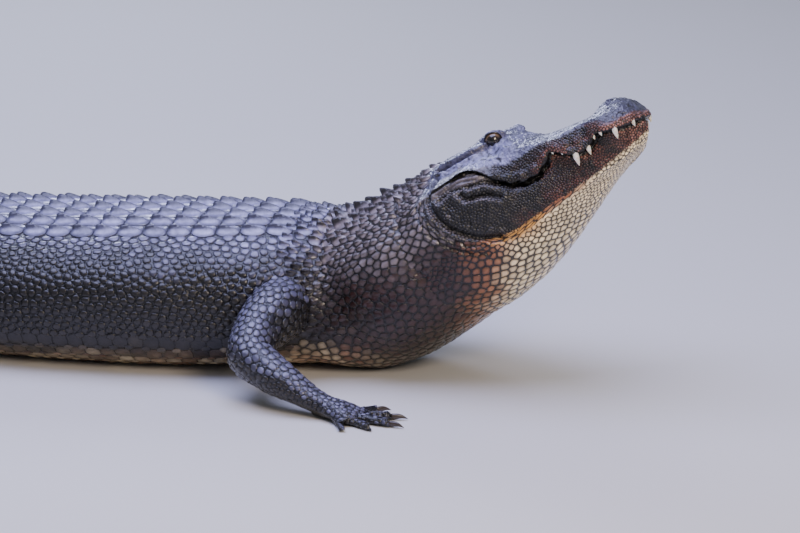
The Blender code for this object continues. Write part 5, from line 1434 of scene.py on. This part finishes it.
belly = banded(TAIL_FRONT, TRUNK_END, BELLY_SPACING, BELLY_SCALE_WIDTH, top=belly_edge)
coat("belly_scales", *belly, 0.0011, 16, (1.0, 0.92, 0.0), seam=0.05, sharp=16, dome=0.3, vary=0.05)
trunk_spot = ~head_spot & ~limb & (along_line > TAIL_FRONT - 0.02)
edge_of_back = BACK_EDGE * through(HALF_WIDTH, along_line) / WIDEST
from_middle = np.abs(np.sum((spots - line[station]) * line_left[station], 1))
flank = trunk_spot & (along_line < TRUNK_END) & ((from_middle > edge_of_back) | (turned > 1.5))
sizes = between((0.0125, 0.0105), (0.0085, 0.0070), smooth_step(0.6, 1.2, turned))
coat("flank_scales", *scattered(flank, body_lie, sizes, avoid=belly), 0.0016, 11, (1.0, 0.70, 0.0), seam=0.14,
     keel=0.0012, ridge=1.0)

# The neck: keeled scales over it, long narrow ones round the jaw muscle and flat ones beneath. The
# keels stand highest over the nape, in rows of small fins whose flanks are painted dark as shade, and the
# seams between the scales are painted darker still.
neck = (trunk_spot & (along_line >= np.where(turned < 1.0, NAPE_START, TRUNK_END))) | behind_jaw
sizes = between((0.0125, 0.0100), (0.0088, 0.0070), smooth_step(0.5, 1.35, turned))
sizes = sizes * (1 - beside_muscle[:, None]) + np.array([0.0090, 0.0050]) * beside_muscle[:, None]
roots, lies, spans = scattered(neck & ((turned < 1.75) | behind_jaw), flow, sizes, avoid=plated)
root_angle, root_place = whereabouts(roots)[1:3]
root_off_muscle = distance_to(rounded(FOLDS["muscle_outer"][0]), root_place[:, 0], root_place[:, 2])
over = (1 - smooth_step(0.80, 1.60, np.abs(root_angle))) * smooth_step(0.004, 0.030, root_off_muscle)
coat("neck_scales", roots, lies, spans, 0.0016, 20, (1.0, 0.90, 0.70, 0.46, 0.22, 0.0), seam=0.13, sharp=14,
     keel=0.0012 + 0.0125 * over, ridge=2.9, rear=0.45, fin_shade=0.80, sweep=0.20, shading=0.10)
sizes = between((0.0088, 0.0076), (0.0100, 0.0092), smooth_step(1.5, 2.1, turned))
coat("under_neck_scales", *scattered(neck & (turned >= 1.75) & ~behind_jaw, flow, sizes), 0.0014, 14,
     (1.0, 0.85, 0.45, 0.0), seam=0.15, sharp=14, dome=0.6)

# Throat and chin: flat many-sided scales with folds of skin between them, painted dark as shade, small
# and drawn out along the jaw, and as large as thumbnails below.
THROAT_EDGE = ((-0.20, 0.001), (-0.06, 0.002), (-0.02, 0.013), (0.06, 0.013), (0.14, 0.007), (0.18, 0.002),
               (0.22, 0.002), (0.29, 0.001))
throat_edge = through(THROAT_EDGE, f)
size = smooth_step(0.27, 0.02, f) * (0.22 + 0.78 * smooth_step(0.010, 0.065, below_border))
roots, lies, spans = scattered(head_spot & (below_border > throat_edge), flow,
                               between((0.0040, 0.0025), (0.0100, 0.0086), size))
coat("throat_scales", roots, lies, spans, 0.0006 + spans[:, 1] * 0.10, 14, (1.0, 0.86, 0.50, 0.0), seam=0.16,
     sharp=14, dome=0.7)

# Between jaw and throat the skin lies in fine pleats: narrow strips of soft horn that run along the
# border of the jaw and follow its slope.
border_slope = (through(JAW_BORDER, f + 0.005) - through(JAW_BORDER, f - 0.005)) / 0.010
border_lie = head_forward + head_up * border_slope[:, None]
pleat = head_spot & (below_border > 0.001) & (below_border < throat_edge - 0.001) & (f > -0.05)
coat("jaw_pleats", *scattered(pleat, border_lie, (0.0120, 0.0021)), 0.0010, 18, (1.0, 0.80, 0.40, 0.0),
     seam=0.16, sharp=14, dome=0.7)

# The sides of the jaws: warts and grains of all sizes, from the border of the bare crown down. They
# leave the mouth's line, the lids and the smooth skin at the mouth's corner free.
off_lip = np.abs(u - through(LIP, f) + mouth_open(f) / 2) - mouth_open(f) / 2
off_eye = np.min([np.linalg.norm((spots - centre) @ head_axes.T / (LID + 0.006), axis=1)
                  for centre in eye_centres.values()], 0)
jaws = head_spot & (below_border <= 0.001) & ~behind_jaw & (u < through(SLATE_EDGE, f) - 0.001)
jaws &= (np.abs(spot_normals @ head_left) > 0.25) | (f > 0.2)
jaws &= (off_lip > 0.0025) & (off_eye > 1) & ((f >= 0.012) | (u <= through(CORNER_SKIN, f)))
sizes = between((0.0025, 0.0022), (0.0031, 0.0027), smooth_step(0.10, -0.08, f))
for way, side in ((1, "left"), (-1, "right")):
    coat("jaw_grains_" + side, *scattered(jaws & (l * way > 0), head_forward, sizes), 0.0012, 8,
         (1.0, 0.62, 0.0), seam=0.08, dome=0.7, vary=0.5)

# The legs and the upper sides of the feet, in scales that lie along them, larger on the thighs and
# upper arms than on the toes. The soles are bare.
leg_lie = np.zeros_like(spots)
nearest_leg = np.full(len(spots), 9.0)
for place, ahead in leg_paths.values():
    for p, a in zip(place, ahead):
        gap = np.linalg.norm(spots - p, axis=1)
        closer = gap < nearest_leg
        nearest_leg[closer] = gap[closer]
        leg_lie[closer] = -a
legs = limb & ((spot_normals[:, 2] > -0.35) | (spots[:, 2] > 0.03)) & (spots[:, 2] > 0.004)
sizes = between((0.0085, 0.0072), (0.0050, 0.0042), smooth_step(0.09, 0.05, spots[:, 2]))
roots, lies, spans = scattered(legs, leg_lie, sizes)
coat("leg_scales", roots, lies, spans, 0.0007 + spans[:, 1] * 0.10, 10, (1.0, 0.70, 0.0), seam=0.10,
     keel=0.0006, ridge=1.0)

# The finished animal's box.
low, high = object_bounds()
